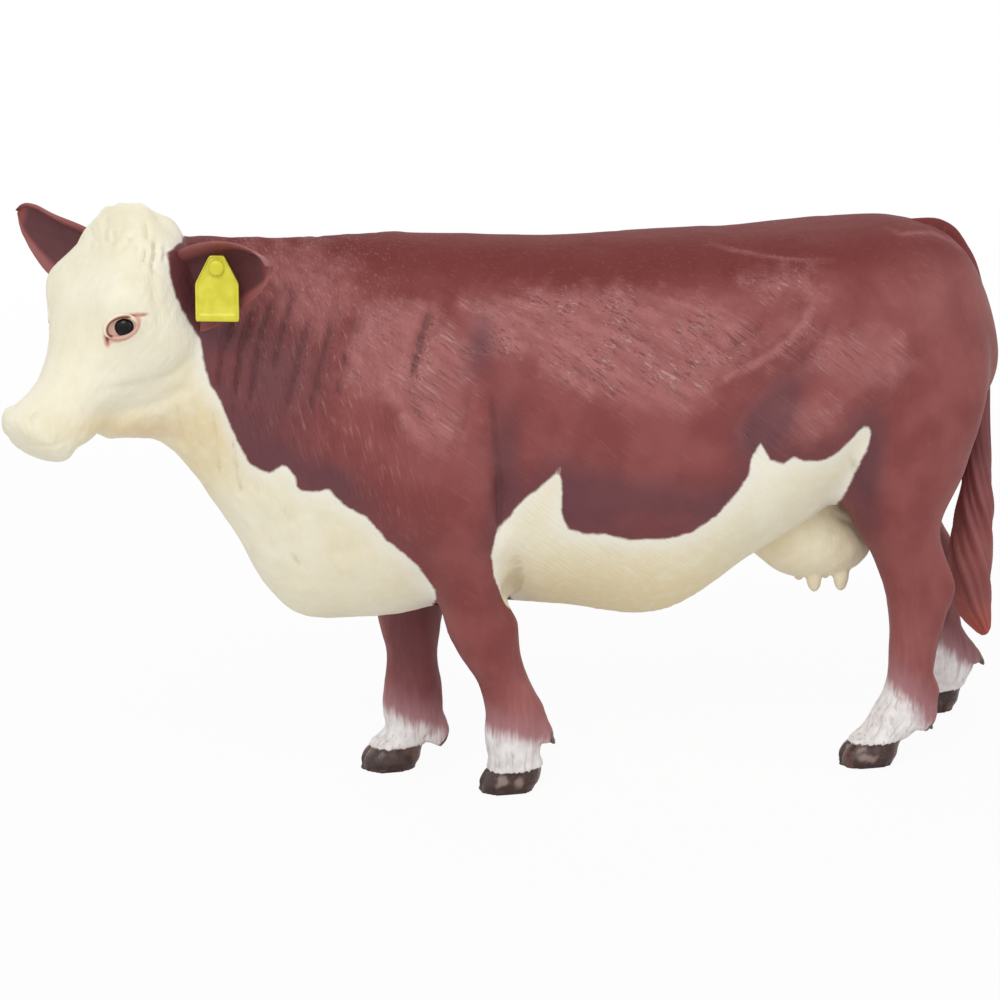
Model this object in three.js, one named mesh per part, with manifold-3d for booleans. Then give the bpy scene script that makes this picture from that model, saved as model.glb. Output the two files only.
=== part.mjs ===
// A moulded toy cow, polled and red with a white face, at about 1:20 scale.
// The pieces are the body with its neck, a head, two ears, an ear tag on its stud,
// four legs, an udder and a tail. Units are millimetres, +Z is up and the head looks to -X.
import * as THREE from "three";
import { mergeVertices } from "three/addons/utils/BufferGeometryUtils.js";
import Module from "manifold-3d";

const wasm = await Module();
wasm.setup();

// Trunk, measured from the neck to the rump
const TRUNK_LENGTH = 113.5;
const BACK_HEIGHT = 73;
const BARREL_HALF_WIDTH = 17;
const NECK_SWING = 7.5;
const HIP_BONE_RADIUS = 4;
const HIP_BONE_LENGTH = 9;

// Head, along its own axis from the poll to the muzzle
const HEAD_LENGTH = 32;
const HEAD_DEPTH = 19;
const HEAD_HALF_WIDTH = 7.4;
const HEAD_TURN_DEG = 28;
const HEAD_DROP_DEG = 50;
const EYE_RADIUS = 2;
const EYE_LID_SHARE = 0.82;
const NOSTRIL_RADIUS = 0.75;
const NOSTRIL_LENGTH_SHARE = 1.6;
const MOUTH_GAPE = 0.5;
const NECK_PEG_RADIUS = 4;
const NECK_PEG_LENGTH = 7;
const NECK_PEG_HEIGHT_SHARE = 0.87;

// Legs, from the sole up
const FORELEG_REACH = 62;
const FORELEG_THICKNESS = 9.2;
const FORELEG_SEAM = 25;
const HINDLEG_REACH = 64;
const HINDLEG_THICKNESS = 9;
const HINDLEG_SEAM = 31;
const LEG_PEG_RADIUS = 2;
const LEG_PEG_LENGTH = 6;
const legRoundnessShares = { widest: 0.5, crown: 2.2, keel: 2.2 };

// Hooves and dewclaws
const HOOF_LENGTH = 8.4;
const HOOF_WIDTH = 7.2;
const HOOF_HEIGHT = 3.2;
const HOOF_TOP_SHARE = 0.86;
const HOOF_RAKE_SHARE = 0.4;
const CLEFT_WIDTH = 0.7;
const CLEFT_REACH_SHARE = 0.7;
const CLEFT_DEPTH_SHARE = 0.15;
const CLEFT_HEIGHT_SHARE = 0.8;
const DEWCLAW_RADIUS = 0.95;
const DEWCLAW_LENGTH_SHARE = 1.3;
const DEWCLAW_SPREAD_SHARE = 0.6;
const DEWCLAW_ROW_INDEX = 1;

// Ears
const EAR_LENGTH = 14.8;
const EAR_WIDTH = 10.5;
const EAR_BLADE = 1.3;
const EAR_CUP = 1.8;
const EAR_STEM_RADIUS = 1.9;
const EAR_RIM_SHARE = 0.45;

// Ear tag, and the stud that it swings on
const TAG_WIDTH = 5.3;
const TAG_HEIGHT = 8.1;
const TAG_BLADE = 0.7;
const TAG_TURN_DEG = -18;
const STUD_PIN_RADIUS = 0.45;
const STUD_COLLAR_RADIUS = 0.8;
const STUD_COLLAR_LENGTH = 2.4;
const STUD_HEAD_RADIUS = 0.95;
const STUD_HEAD_DOME = 0.45;
const STUD_BUTTON_RADIUS = 0.95;
const STUD_BUTTON_THICKNESS = 0.5;

// Udder and tail
const UDDER_LENGTH = 17;
const UDDER_WIDTH = 13;
const UDDER_DROP = 9;
const TEAT_RADIUS = 0.85;
const TEAT_LENGTH = 2.6;
const TEAT_SUNK_SHARE = 0.35;
const TAIL_DROP = 57;
const TAIL_THICKNESS = 3.4;
const TAIL_HEAD_SHARE = 0.968;
const TUFT_WIDTH = 6.2;
const TUFT_GROOVE_SHARE = 0.09;
const TUFT_LOCK_COUNT = 5;

// Fits
const GLUE_GAP = 0.3;
const PIN_PLAY = 0.1;
const EAR_SLACK = 0.3;

// Fineness of the surfaces
const TRUNK_SIDE_COUNT = 28;
const TRUNK_RING_COUNT = 42;
const HEAD_SIDE_COUNT = 24;
const HEAD_RING_COUNT = 26;
const LEG_SIDE_COUNT = 16;
const LEG_RING_COUNT = 22;
const EAR_SIDE_COUNT = 16;
const EAR_RING_COUNT = 12;
const UDDER_RING_COUNT = 14;
const TAIL_SIDE_COUNT = 15;
const TAIL_RING_COUNT = 24;
const ROUND_SIDE_COUNT = 16;
const SMALL_SIDE_COUNT = 10;
const TAG_CORNER_STEP_COUNT = 6;

// Trunk sections from the throat to the rump, with the neck's start at zero. Along is a share
// of the length, top and belly are shares of the back's height, half is a share of the
// barrel's half width, and widest is where between belly and top the section is widest.
const trunkShares = {
  along: [
    -0.085, -0.05, 0, 0.04, 0.09, 0.125, 0.165, 0.22, 0.28,
    0.36, 0.47, 0.59, 0.7, 0.8, 0.89, 0.95, 0.985, 1,
  ],
  top: [
    0.9, 0.97, 1.02, 1.028, 1.022, 1.015, 1.008, 1.002, 1.0,
    0.99, 0.977, 0.977, 0.975, 0.98, 0.98, 0.94, 0.855, 0.76,
  ],
  belly: [
    0.73, 0.685, 0.68, 0.62, 0.5, 0.4, 0.335, 0.318, 0.315,
    0.33, 0.315, 0.29, 0.38, 0.46, 0.52, 0.58, 0.64, 0.68,
  ],
  half: [
    0.16, 0.28, 0.41, 0.44, 0.48, 0.53, 0.6, 0.72, 0.8,
    0.86, 0.95, 1, 0.98, 0.92, 0.8, 0.62, 0.44, 0.28,
  ],
  widest: [
    0.5, 0.5, 0.5, 0.48, 0.46, 0.46, 0.46, 0.48, 0.5,
    0.5, 0.46, 0.42, 0.46, 0.52, 0.55, 0.55, 0.5, 0.5,
  ],
  crown: [2, 2, 2, 2, 1.9, 1.9, 1.9, 2, 2.1, 2.2, 2.3, 2.4, 2.6, 2.7, 2.5, 2.3, 2, 2],
  keel: [2, 2, 2, 2, 1.9, 1.8, 1.8, 1.9, 2, 2, 2.1, 2.1, 2, 2, 2, 2, 2, 2],
  swing: [1.6, 1.35, 1, 0.86, 0.7, 0.55, 0.38, 0.18, 0.06, 0, 0, 0, 0, 0, 0, 0, 0, 0],
};

// Head sections from the poll to the muzzle. Top and belly are how far the section reaches
// to the brow and to the jaw as shares of the head's depth, with the brow line as zero.
const headShares = {
  along: [-0.06, -0.035, 0.03, 0.1, 0.21, 0.33, 0.42, 0.53, 0.65, 0.77, 0.87, 0.945, 0.99, 1.015],
  top: [-0.18, -0.05, 0.05, 0.06, 0.05, 0.035, -0.01, -0.08, -0.13, -0.14, -0.09, -0.05, -0.11, -0.22],
  belly: [
    -0.34, -0.42, -0.58, -0.78, -0.95, -0.99, -0.95,
    -0.86, -0.75, -0.67, -0.62, -0.575, -0.51, -0.42,
  ],
  half: [0.28, 0.52, 0.76, 0.9, 1.08, 1.2, 1.17, 0.96, 0.75, 0.64, 0.66, 0.66, 0.56, 0.34],
  widest: [0.6, 0.6, 0.6, 0.58, 0.58, 0.6, 0.64, 0.62, 0.56, 0.52, 0.5, 0.5, 0.5, 0.5],
  crown: [2, 2.1, 2.1, 2.3, 2.8, 3.2, 3, 2.4, 2.1, 2.1, 2.2, 2.3, 2.2, 2],
  keel: [2, 2.2, 2.4, 2.6, 2.8, 2.8, 2.6, 2.3, 2.1, 2.1, 2.2, 2.2, 2.1, 2],
};

// Leg sections from the sole up. Up is a share of the leg's reach, long and wide are half
// sizes as shares of the leg's thickness.
const forelegShares = {
  up: [0.08, 0.12, 0.17, 0.24, 0.3, 0.355, 0.41, 0.5, 0.62, 0.78, 0.92, 1],
  long: [0.37, 0.43, 0.42, 0.365, 0.43, 0.5, 0.545, 0.7, 0.95, 1.12, 0.95, 0.4],
  wide: [0.36, 0.37, 0.35, 0.33, 0.39, 0.44, 0.48, 0.6, 0.7, 0.68, 0.42, 0.2],
};
const hindlegShares = {
  up: [0.065, 0.1, 0.15, 0.24, 0.3, 0.37, 0.44, 0.52, 0.64, 0.8, 0.93, 1],
  long: [0.4, 0.46, 0.42, 0.44, 0.5, 0.61, 0.62, 0.74, 1.06, 1.25, 1.0, 0.5],
  wide: [0.35, 0.36, 0.33, 0.33, 0.36, 0.4, 0.48, 0.6, 0.7, 0.7, 0.6, 0.3],
};

// How each leg stands. Sole is its hoof's place along the trunk and across it, as shares of
// the trunk's length and half width, root is how far out the leg starts, and set is how far
// each section lies behind the sole, as a share of the leg's reach.
const foreleg = {
  rows: forelegShares,
  reach: FORELEG_REACH,
  thickness: FORELEG_THICKNESS,
  seam: FORELEG_SEAM,
};
const hindleg = {
  rows: hindlegShares,
  reach: HINDLEG_REACH,
  thickness: HINDLEG_THICKNESS,
  seam: HINDLEG_SEAM,
};
const legPlans = {
  left_foreleg: {
    ...foreleg,
    soleShares: [0.399, -0.44],
    rootShare: -0.55,
    setShares: [
      0.0145, 0.0185, 0.018, -0.008, -0.037, -0.053,
      -0.062, -0.075, -0.108, -0.156, -0.197, -0.213,
    ],
  },
  right_foreleg: {
    ...foreleg,
    soleShares: [0.288, 0.33],
    rootShare: 0.5,
    setShares: [0.052, 0.056, 0.056, 0.056, 0.053, 0.052, 0.048, 0.04, 0.024, 0.008, -0.008, -0.016],
  },
  left_hindleg: {
    ...hindleg,
    soleShares: [0.831, -0.54],
    rootShare: -0.46,
    setShares: [0.045, 0.075, 0.1, 0.112, 0.12, 0.122, 0.096, 0.066, 0.06, 0.075, 0.0875, 0.0875],
  },
  right_hindleg: {
    ...hindleg,
    soleShares: [0.975, 0.68],
    rootShare: 0.46,
    setShares: [0.028, 0.036, 0.032, 0.01, -0.01, -0.03, -0.07, -0.11, -0.148, -0.156, -0.15, -0.15],
  },
};

// Ear sections from the root to the tip. Top and bottom are the blade's edges as shares of
// its width, cup is how deep it is hollowed and stem is how round it still is.
const earShares = {
  along: [-0.2, 0, 0.12, 0.3, 0.55, 0.78, 0.93, 1],
  top: [0.17, 0.3, 0.44, 0.52, 0.52, 0.44, 0.3, 0.18],
  bottom: [-0.17, -0.34, -0.46, -0.48, -0.36, -0.14, 0.04, 0.12],
  cup: [0, 0.35, 0.85, 1, 1, 0.75, 0.35, 0.1],
  stem: [1, 0.75, 0.3, 0.1, 0, 0, 0, 0],
};

// Tail sections from its head down. Back and across are the centre line's places as shares
// of its drop, long and wide are half sizes as shares of its thickness and its tuft.
const tailShares = {
  down: [0.015, 0.042, 0.108, 0.25, 0.37, 0.51, 0.62, 0.72, 0.83, 0.915, 0.985, 1],
  back: [-0.15, -0.08, -0.043, -0.025, -0.018, -0.016, -0.018, -0.025, -0.03, -0.02, 0.01, 0.015],
  across: [0, 0, 0, 0, 0, 0, -0.005, -0.01, -0.01, -0.005, 0, 0],
  size: [0.7, 0.9, 0.95, 0.85, 0.8, 0.85, 0.85, 0.9, 0.95, 0.8, 0.35, 0.15],
  tuft: [0, 0, 0, 0, 0, 0.15, 0.5, 0.9, 1, 1, 1, 1],
};

// Udder sections from the belly down, as shares of its drop, length and width
const udderShares = {
  down: [-0.35, 0, 0.35, 0.62, 0.82, 0.94, 1],
  size: [0.6, 0.86, 1, 0.93, 0.74, 0.5, 0.26],
  back: [-0.1, -0.05, 0, 0.03, 0.05, 0.06, 0.06],
};

// Places as shares of the piece that carries them
const pollShares = { along: -0.027, across: -0.5, up: 1.092 };
const eyeShares = { down: 0.44, out: -0.22, side: 0.9 };
const nostrilShares = { down: 0.965, out: -0.24, side: 0.46 };
const mouthShares = { down: 0.9, out: -0.42, long: 0.13, wide: 0.75 };
const hipShares = { along: 0.7, across: 0.58, up: 0.876 };
const studShares = { out: 0.52, across: 0.5 };
const tagShares = { hole: 0.17, shoulder: 0.42, neck: 0.34, corner: 0.2 };
const udderPlaceShares = { along: 0.782, up: 0.45 };
const teatShares = [
  [-0.06, -0.24],
  [0.17, -0.24],
  [-0.06, 0.24],
  [0.17, 0.24],
];
const seamShares = { along: 0.018, turn: 0.7 };
const earPlans = {
  left_ear: { side: -1, sweepDeg: 25, liftDeg: 17, rootShares: [0.22, -0.48, 0.58] },
  right_ear: { side: 1, sweepDeg: -14, liftDeg: 20, rootShares: [0.22, -0.34, 0.74] },
};
const seamTurn = THREE.MathUtils.degToRad(HEAD_TURN_DEG * seamShares.turn);
const seamFrame = new THREE.Matrix4()
  .makeRotationZ(seamTurn)
  .setPosition(TRUNK_LENGTH * seamShares.along, -NECK_SWING, 0);

const RED = { color: "#8c4d4a", roughness: 0.5, metalness: 0 };
const CREAM = { color: "#e6dfbf", roughness: 0.5, metalness: 0 };
const YELLOW = { color: "#ded646", roughness: 0.35, metalness: 0 };

// A smooth value between the rows of a table, read at a place along its first column.
function readRow(places, values, at) {
  const last = places.length - 1;
  const inside = Math.min(Math.max(at, places[0]), places[last]);
  let row = 0;
  while (row < last - 1 && inside > places[row + 1]) row += 1;
  const slope = (index) => {
    const before = Math.max(index - 1, 0);
    const after = Math.min(index + 1, last);
    return (values[after] - values[before]) / (places[after] - places[before]);
  };
  const span = places[row + 1] - places[row];
  const part = (inside - places[row]) / span;
  const rise = values[row + 1] - values[row];
  const startSlope = slope(row) * span;
  const endSlope = slope(row + 1) * span;
  const bend = startSlope + endSlope - 2 * rise;
  return values[row] + startSlope * part + (rise - startSlope - bend) * part ** 2 + bend * part ** 3;
}

// Evenly spaced shares from the first to the last value, ends included.
function evenShares(count, first, last) {
  return Array.from({ length: count }, (_, index) => first + ((last - first) * index) / (count - 1));
}

// The section that a table of shares gives at a place, in the sizes that the table follows.
function sectionSize(shares, place, depth, halfWidth) {
  const read = (column) => readRow(shares.along, shares[column], place);
  return {
    top: depth * read("top"),
    bottom: depth * read("belly"),
    half: halfWidth * read("half"),
    widest: read("widest"),
    crown: read("crown"),
    keel: read("keel"),
  };
}

// A closed section whose upper half and lower half are superellipses of their own squareness.
function sectionPoints(sides, size) {
  const waist = size.bottom + (size.top - size.bottom) * size.widest;
  return evenShares(sides + 1, 0, 2 * Math.PI)
    .slice(0, sides)
    .map((angle) => {
      const up = Math.sin(angle);
      const out = Math.cos(angle);
      const power = 2 / (up >= 0 ? size.crown : size.keel);
      const reach = up >= 0 ? size.top - waist : waist - size.bottom;
      const across = size.half * Math.sign(out) * Math.abs(out) ** power;
      return new THREE.Vector2(across, waist + reach * Math.sign(up) * Math.abs(up) ** power);
    });
}

// The middle of a ring of points.
function middleOf(ring) {
  const sum = ring.reduce((total, point) => total.add(point), new THREE.Vector3());
  return sum.divideScalar(ring.length);
}

// A closed solid through a row of rings with the same number of points, flat at both ends.
function loft(rings) {
  const sides = rings[0].length;
  const points = rings.flat();
  const index = [];
  for (let ring = 0; ring < rings.length - 1; ring += 1) {
    for (let side = 0; side < sides; side += 1) {
      const here = ring * sides + side;
      const next = ring * sides + ((side + 1) % sides);
      index.push(here, next, next + sides, here, next + sides, here + sides);
    }
  }
  points.push(middleOf(rings[0]), middleOf(rings[rings.length - 1]));
  const firstCentre = rings.length * sides;
  const lastRing = (rings.length - 1) * sides;
  for (let side = 0; side < sides; side += 1) {
    const next = (side + 1) % sides;
    index.push(firstCentre, next, side, firstCentre + 1, lastRing + side, lastRing + next);
  }
  const geometry = new THREE.BufferGeometry().setFromPoints(points).setIndex(index);
  return solid(geometry);
}

// A three.js geometry as a manifold-3d solid that faces out.
function solid(geometry) {
  const bare = geometry.clone();
  bare.deleteAttribute("normal");
  bare.deleteAttribute("uv");
  const merged = mergeVertices(bare);
  const vertProperties = merged.attributes.position.array;
  const triVerts = new Uint32Array(merged.index.array);
  const make = () => new wasm.Manifold(new wasm.Mesh({ numProp: 3, vertProperties, triVerts }));
  const made = make();
  if (made.volume() > 0) return made;
  triVerts.reverse();
  return make();
}

// One solid from several.
function union(solids) {
  return wasm.Manifold.union(solids);
}

// The largest connected body of a solid, which leaves out slivers beyond a cut.
function mainBody(shape) {
  return shape.decompose().reduce((best, body) => (body.volume() > best.volume() ? body : best));
}

// A box between two corners.
function box(low, high) {
  const size = high.clone().sub(low);
  const centre = low.clone().add(high).divideScalar(2);
  return solid(new THREE.BoxGeometry(size.x, size.y, size.z).translate(centre.x, centre.y, centre.z));
}

// An upright round bar that runs as far below a place as above it.
function bar(radius, reach, place) {
  const geometry = new THREE.CylinderGeometry(radius, radius, reach * 2, ROUND_SIDE_COUNT);
  return solid(geometry.rotateX(Math.PI / 2).translate(place.x, place.y, place.z));
}

// An ellipsoid with its three radii, in a frame of its own if it has one.
function ellipsoid(radii, place, frame = new THREE.Matrix4(), sides = SMALL_SIDE_COUNT) {
  const geometry = new THREE.SphereGeometry(1, sides, sides / 2);
  geometry.scale(radii.x, radii.y, radii.z).translate(place.x, place.y, place.z);
  return solid(geometry.applyMatrix4(frame));
}

// The trunk and neck, a loft of upright sections that swing to the left towards the head.
function trunkLoft() {
  const rings = evenShares(TRUNK_RING_COUNT, trunkShares.along[0], 1).map((place) => {
    const size = sectionSize(trunkShares, place, BACK_HEIGHT, BARREL_HALF_WIDTH);
    const outline = sectionPoints(TRUNK_SIDE_COUNT, size);
    const side = -NECK_SWING * readRow(trunkShares.along, trunkShares.swing, place);
    return outline.map((point) => new THREE.Vector3(TRUNK_LENGTH * place, side + point.x, point.y));
  });
  return loft(rings);
}

// A frame from three square directions and an origin, to place geometry with.
function frameOf(x, y, z, origin) {
  return new THREE.Matrix4().makeBasis(x, y, z).setPosition(origin);
}

// A sum of directions, each times its own length.
function along(...terms) {
  const start = new THREE.Vector3();
  return terms.reduce((sum, [length, direction]) => sum.addScaledVector(direction, length), start);
}

// The frame of the head: down the face, out of the brow, and to the cow's right.
const upright = new THREE.Vector3(0, 0, 1);
const headTurn = THREE.MathUtils.degToRad(HEAD_TURN_DEG);
const headDrop = THREE.MathUtils.degToRad(HEAD_DROP_DEG);
const headAhead = new THREE.Vector3(-Math.cos(headTurn), -Math.sin(headTurn), 0);
const headRight = upright.clone().cross(headAhead).negate();
const faceDown = along([Math.cos(headDrop), headAhead], [-Math.sin(headDrop), upright]);
const faceOut = along([Math.sin(headDrop), headAhead], [Math.cos(headDrop), upright]);
const poll = new THREE.Vector3(
  TRUNK_LENGTH * pollShares.along,
  BARREL_HALF_WIDTH * pollShares.across,
  BACK_HEIGHT * pollShares.up,
);
const headFrame = frameOf(faceDown, faceOut, headRight, poll);

// A place in the head's own frame, from shares of its length, depth and half width.
function inHead([down, out, side]) {
  return new THREE.Vector3(HEAD_LENGTH * down, HEAD_DEPTH * out, HEAD_HALF_WIDTH * side);
}

// The skull, a loft of sections square to the line from the poll to the muzzle.
function headLoft() {
  const first = headShares.along[0];
  const last = headShares.along[headShares.along.length - 1];
  const rings = evenShares(HEAD_RING_COUNT, first, last).map((down) => {
    const size = sectionSize(headShares, down, HEAD_DEPTH, HEAD_HALF_WIDTH);
    return sectionPoints(HEAD_SIDE_COUNT, size).map((point) => {
      return new THREE.Vector3(HEAD_LENGTH * down, point.y, point.x).applyMatrix4(headFrame);
    });
  });
  return loft(rings);
}

// The eyeballs stand a little out of the skull.
function eyes() {
  const radii = new THREE.Vector3(EYE_RADIUS, EYE_RADIUS * EYE_LID_SHARE, EYE_RADIUS * EYE_LID_SHARE);
  return [-1, 1].map((side) => {
    const place = inHead([eyeShares.down, eyeShares.out, eyeShares.side * side]);
    return ellipsoid(radii, place, headFrame);
  });
}

// What is cut out of the muzzle: two nostrils and the slit of the mouth.
function muzzleCuts() {
  const nostrilReach = NOSTRIL_RADIUS * NOSTRIL_LENGTH_SHARE;
  const nostrilRadii = new THREE.Vector3(nostrilReach, NOSTRIL_RADIUS, NOSTRIL_RADIUS);
  const nostrils = [-1, 1].map((side) => {
    const place = inHead([nostrilShares.down, nostrilShares.out, nostrilShares.side * side]);
    return ellipsoid(nostrilRadii, place, headFrame);
  });
  const mouthRadii = inHead([mouthShares.long, 0, mouthShares.wide]).setY(MOUTH_GAPE / 2);
  const mouth = ellipsoid(mouthRadii, inHead([mouthShares.down, mouthShares.out, 0]), headFrame);
  return [...nostrils, mouth];
}

// One leg, a loft of level sections from its sole up to its root inside the trunk.
function legLoft(plan, grow) {
  const { rows, reach, thickness } = plan;
  const hoofTop = HOOF_HEIGHT / reach;
  const ups = [0, hoofTop, ...rows.up];
  const sets = [0, hoofTop * HOOF_RAKE_SHARE, ...plan.setShares];
  const halves = (hoofSize, shares) => {
    return [hoofSize / 2, (hoofSize / 2) * HOOF_TOP_SHARE, ...shares.map((share) => thickness * share)];
  };
  const longs = halves(HOOF_LENGTH, rows.long);
  const wides = halves(HOOF_WIDTH, rows.wide);
  const levels = [0, hoofTop / 2, ...evenShares(LEG_RING_COUNT, hoofTop, 1)];
  const rings = levels.map((up) => {
    const reachX = readRow(ups, longs, up) + grow;
    const half = readRow(ups, wides, up) + grow;
    const size = { ...legRoundnessShares, top: reachX, bottom: -reachX, half };
    const outline = sectionPoints(LEG_SIDE_COUNT, size);
    const { x, y, z } = legCentre(plan, readRow(ups, sets, up), up);
    return outline.map((point) => new THREE.Vector3(x + point.y, y + point.x, z));
  });
  return loft(rings);
}

// The middle of a leg at a share of its reach, set back from its sole.
function legCentre(plan, set, up) {
  const across = plan.soleShares[1] + (plan.rootShare - plan.soleShares[1]) * up;
  return new THREE.Vector3(
    TRUNK_LENGTH * plan.soleShares[0] + plan.reach * set,
    BARREL_HALF_WIDTH * across,
    plan.reach * up,
  );
}

// The two small dewclaws behind a fetlock.
function dewclaws(plan) {
  const up = plan.rows.up[DEWCLAW_ROW_INDEX];
  const centre = legCentre(plan, plan.setShares[DEWCLAW_ROW_INDEX], up);
  const back = plan.thickness * plan.rows.long[DEWCLAW_ROW_INDEX];
  const apart = plan.thickness * plan.rows.wide[DEWCLAW_ROW_INDEX] * DEWCLAW_SPREAD_SHARE;
  const reach = DEWCLAW_RADIUS * DEWCLAW_LENGTH_SHARE;
  const radii = new THREE.Vector3(DEWCLAW_RADIUS, DEWCLAW_RADIUS, reach);
  return [-1, 1].map((side) => {
    const place = centre.clone().add(new THREE.Vector3(back, apart * side, 0));
    return ellipsoid(radii, place);
  });
}

// The cleft between the two claws of a hoof, a wedge that closes towards the heel.
function cleft(plan) {
  const sole = legCentre(plan, 0, 0);
  const shape = new THREE.Shape();
  shape.moveTo(-HOOF_LENGTH * CLEFT_REACH_SHARE, -CLEFT_WIDTH / 2);
  shape.lineTo(HOOF_LENGTH * CLEFT_DEPTH_SHARE, 0);
  shape.lineTo(-HOOF_LENGTH * CLEFT_REACH_SHARE, CLEFT_WIDTH / 2);
  const height = HOOF_HEIGHT * CLEFT_HEIGHT_SHARE;
  const geometry = new THREE.ExtrudeGeometry(shape, { depth: height * 2, bevelEnabled: false });
  return solid(geometry.translate(sole.x, sole.y, -height));
}

// All that lies below a leg's seam.
function belowSeam(plan) {
  const reach = TRUNK_LENGTH * 2;
  return box(new THREE.Vector3(-reach, -reach, -reach), new THREE.Vector3(reach, reach, plan.seam));
}

// Where a leg's peg leaves it, in the middle of its seam.
function pegPlace(plan) {
  const up = plan.seam / plan.reach;
  return legCentre(plan, readRow(plan.rows.up, plan.setShares, up), up);
}

// The side of the neck seam that belongs to the head, moved back by an overlap.
function headSide(overlap) {
  const reach = TRUNK_LENGTH;
  const geometry = new THREE.BoxGeometry(reach, reach, reach * 2).translate(overlap - reach / 2, 0, 0);
  return solid(geometry.applyMatrix4(seamFrame));
}

// The peg that plugs the head into the neck.
function neckPeg(grow) {
  const radius = NECK_PEG_RADIUS + grow;
  const length = (NECK_PEG_LENGTH + grow) * 2;
  const geometry = new THREE.CylinderGeometry(radius, radius, length, ROUND_SIDE_COUNT);
  geometry.rotateZ(Math.PI / 2).translate(0, 0, BACK_HEIGHT * NECK_PEG_HEIGHT_SHARE);
  return solid(geometry.applyMatrix4(seamFrame));
}

// The frame of an ear: out to its tip, up across its blade, and out of its opening.
function earFrame(plan) {
  const outwards = headRight.clone().multiplyScalar(plan.side);
  const sweep = THREE.MathUtils.degToRad(plan.sweepDeg);
  const lift = THREE.MathUtils.degToRad(plan.liftDeg);
  const level = along([Math.cos(sweep), outwards], [-Math.sin(sweep), headAhead]);
  const opening = along([Math.sin(sweep), outwards], [Math.cos(sweep), headAhead]);
  const tip = along([Math.cos(lift), level], [Math.sin(lift), upright]);
  const across = along([-Math.sin(lift), level], [Math.cos(lift), upright]);
  const root = inHead([plan.rootShares[0], plan.rootShares[1], plan.rootShares[2] * plan.side]);
  return frameOf(tip, across, opening, root.applyMatrix4(headFrame));
}

// How far back the middle of an ear's blade is hollowed, at places along and across it.
function earHollow(out, across) {
  const cup = EAR_CUP * readRow(earShares.along, earShares.cup, out);
  return -cup * (1 - across ** 2);
}

// An ear, a loft of crescent sections on a round stem, grown all over by a gap.
function earLoft(plan, grow) {
  const frame = earFrame(plan);
  const rings = evenShares(EAR_RING_COUNT, earShares.along[0], 1).map((out, ring) => {
    const read = (column) => readRow(earShares.along, earShares[column], out);
    const middle = (EAR_WIDTH * (read("top") + read("bottom"))) / 2;
    const halfWidth = (EAR_WIDTH * (read("top") - read("bottom"))) / 2 + grow;
    const halfBlade = THREE.MathUtils.lerp(EAR_BLADE / 2, EAR_STEM_RADIUS, read("stem")) + grow;
    const start = EAR_LENGTH * out - (ring === 0 ? grow : 0);
    return evenShares(EAR_SIDE_COUNT + 1, 0, 2 * Math.PI)
      .slice(0, EAR_SIDE_COUNT)
      .map((angle) => {
        const across = Math.cos(angle);
        const thick = halfBlade * Math.sin(angle) * (1 - EAR_RIM_SHARE * across ** 2);
        const opening = earHollow(out, across) + thick;
        const point = new THREE.Vector3(start, middle + halfWidth * across, opening);
        return point.applyMatrix4(frame);
      });
  });
  return loft(rings);
}

// The frame of the tag's stud: level with the tag, upright, and out along the pin.
function studFrame() {
  const ear = earFrame(earPlans.left_ear);
  const blade = new THREE.Vector3(
    EAR_LENGTH * studShares.out,
    (EAR_WIDTH / 2) * studShares.across,
    earHollow(studShares.out, studShares.across),
  );
  const turn = THREE.MathUtils.degToRad(TAG_TURN_DEG);
  const level = new THREE.Vector3(Math.cos(turn), Math.sin(turn), 0);
  const facing = level.clone().cross(upright);
  return frameOf(level, upright, facing, blade.applyMatrix4(ear));
}

const studPlace = studFrame();

// The stud: a button behind the ear, the pin with its collar, and a domed head, all round
// the z axis, grown all over by a gap.
function studSolid(grow) {
  const tagBack = EAR_BLADE / 2 + STUD_COLLAR_LENGTH;
  const tagFront = tagBack + TAG_BLADE + PIN_PLAY * 2;
  const buttonTop = -EAR_BLADE / 2 - EAR_SLACK;
  const profile = [
    [0, buttonTop - STUD_BUTTON_THICKNESS - grow],
    [STUD_BUTTON_RADIUS + grow, buttonTop - STUD_BUTTON_THICKNESS - grow],
    [STUD_BUTTON_RADIUS + grow, buttonTop + grow],
    [STUD_PIN_RADIUS + grow, buttonTop + grow],
    [STUD_PIN_RADIUS + grow, EAR_BLADE / 2 - grow],
    [STUD_COLLAR_RADIUS + grow, EAR_BLADE / 2 - grow],
    [STUD_COLLAR_RADIUS + grow, tagBack],
    [STUD_PIN_RADIUS + grow, tagBack],
    [STUD_PIN_RADIUS + grow, tagFront],
    [STUD_HEAD_RADIUS + grow, tagFront],
    [STUD_HEAD_RADIUS + grow, tagFront + STUD_HEAD_DOME / 2],
    [STUD_HEAD_RADIUS / 2, tagFront + STUD_HEAD_DOME],
    [0, tagFront + STUD_HEAD_DOME],
  ];
  const points = profile.map(([radius, height]) => new THREE.Vector2(radius, height));
  return solid(new THREE.LatheGeometry(points, ROUND_SIDE_COUNT).rotateX(Math.PI / 2));
}

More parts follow.
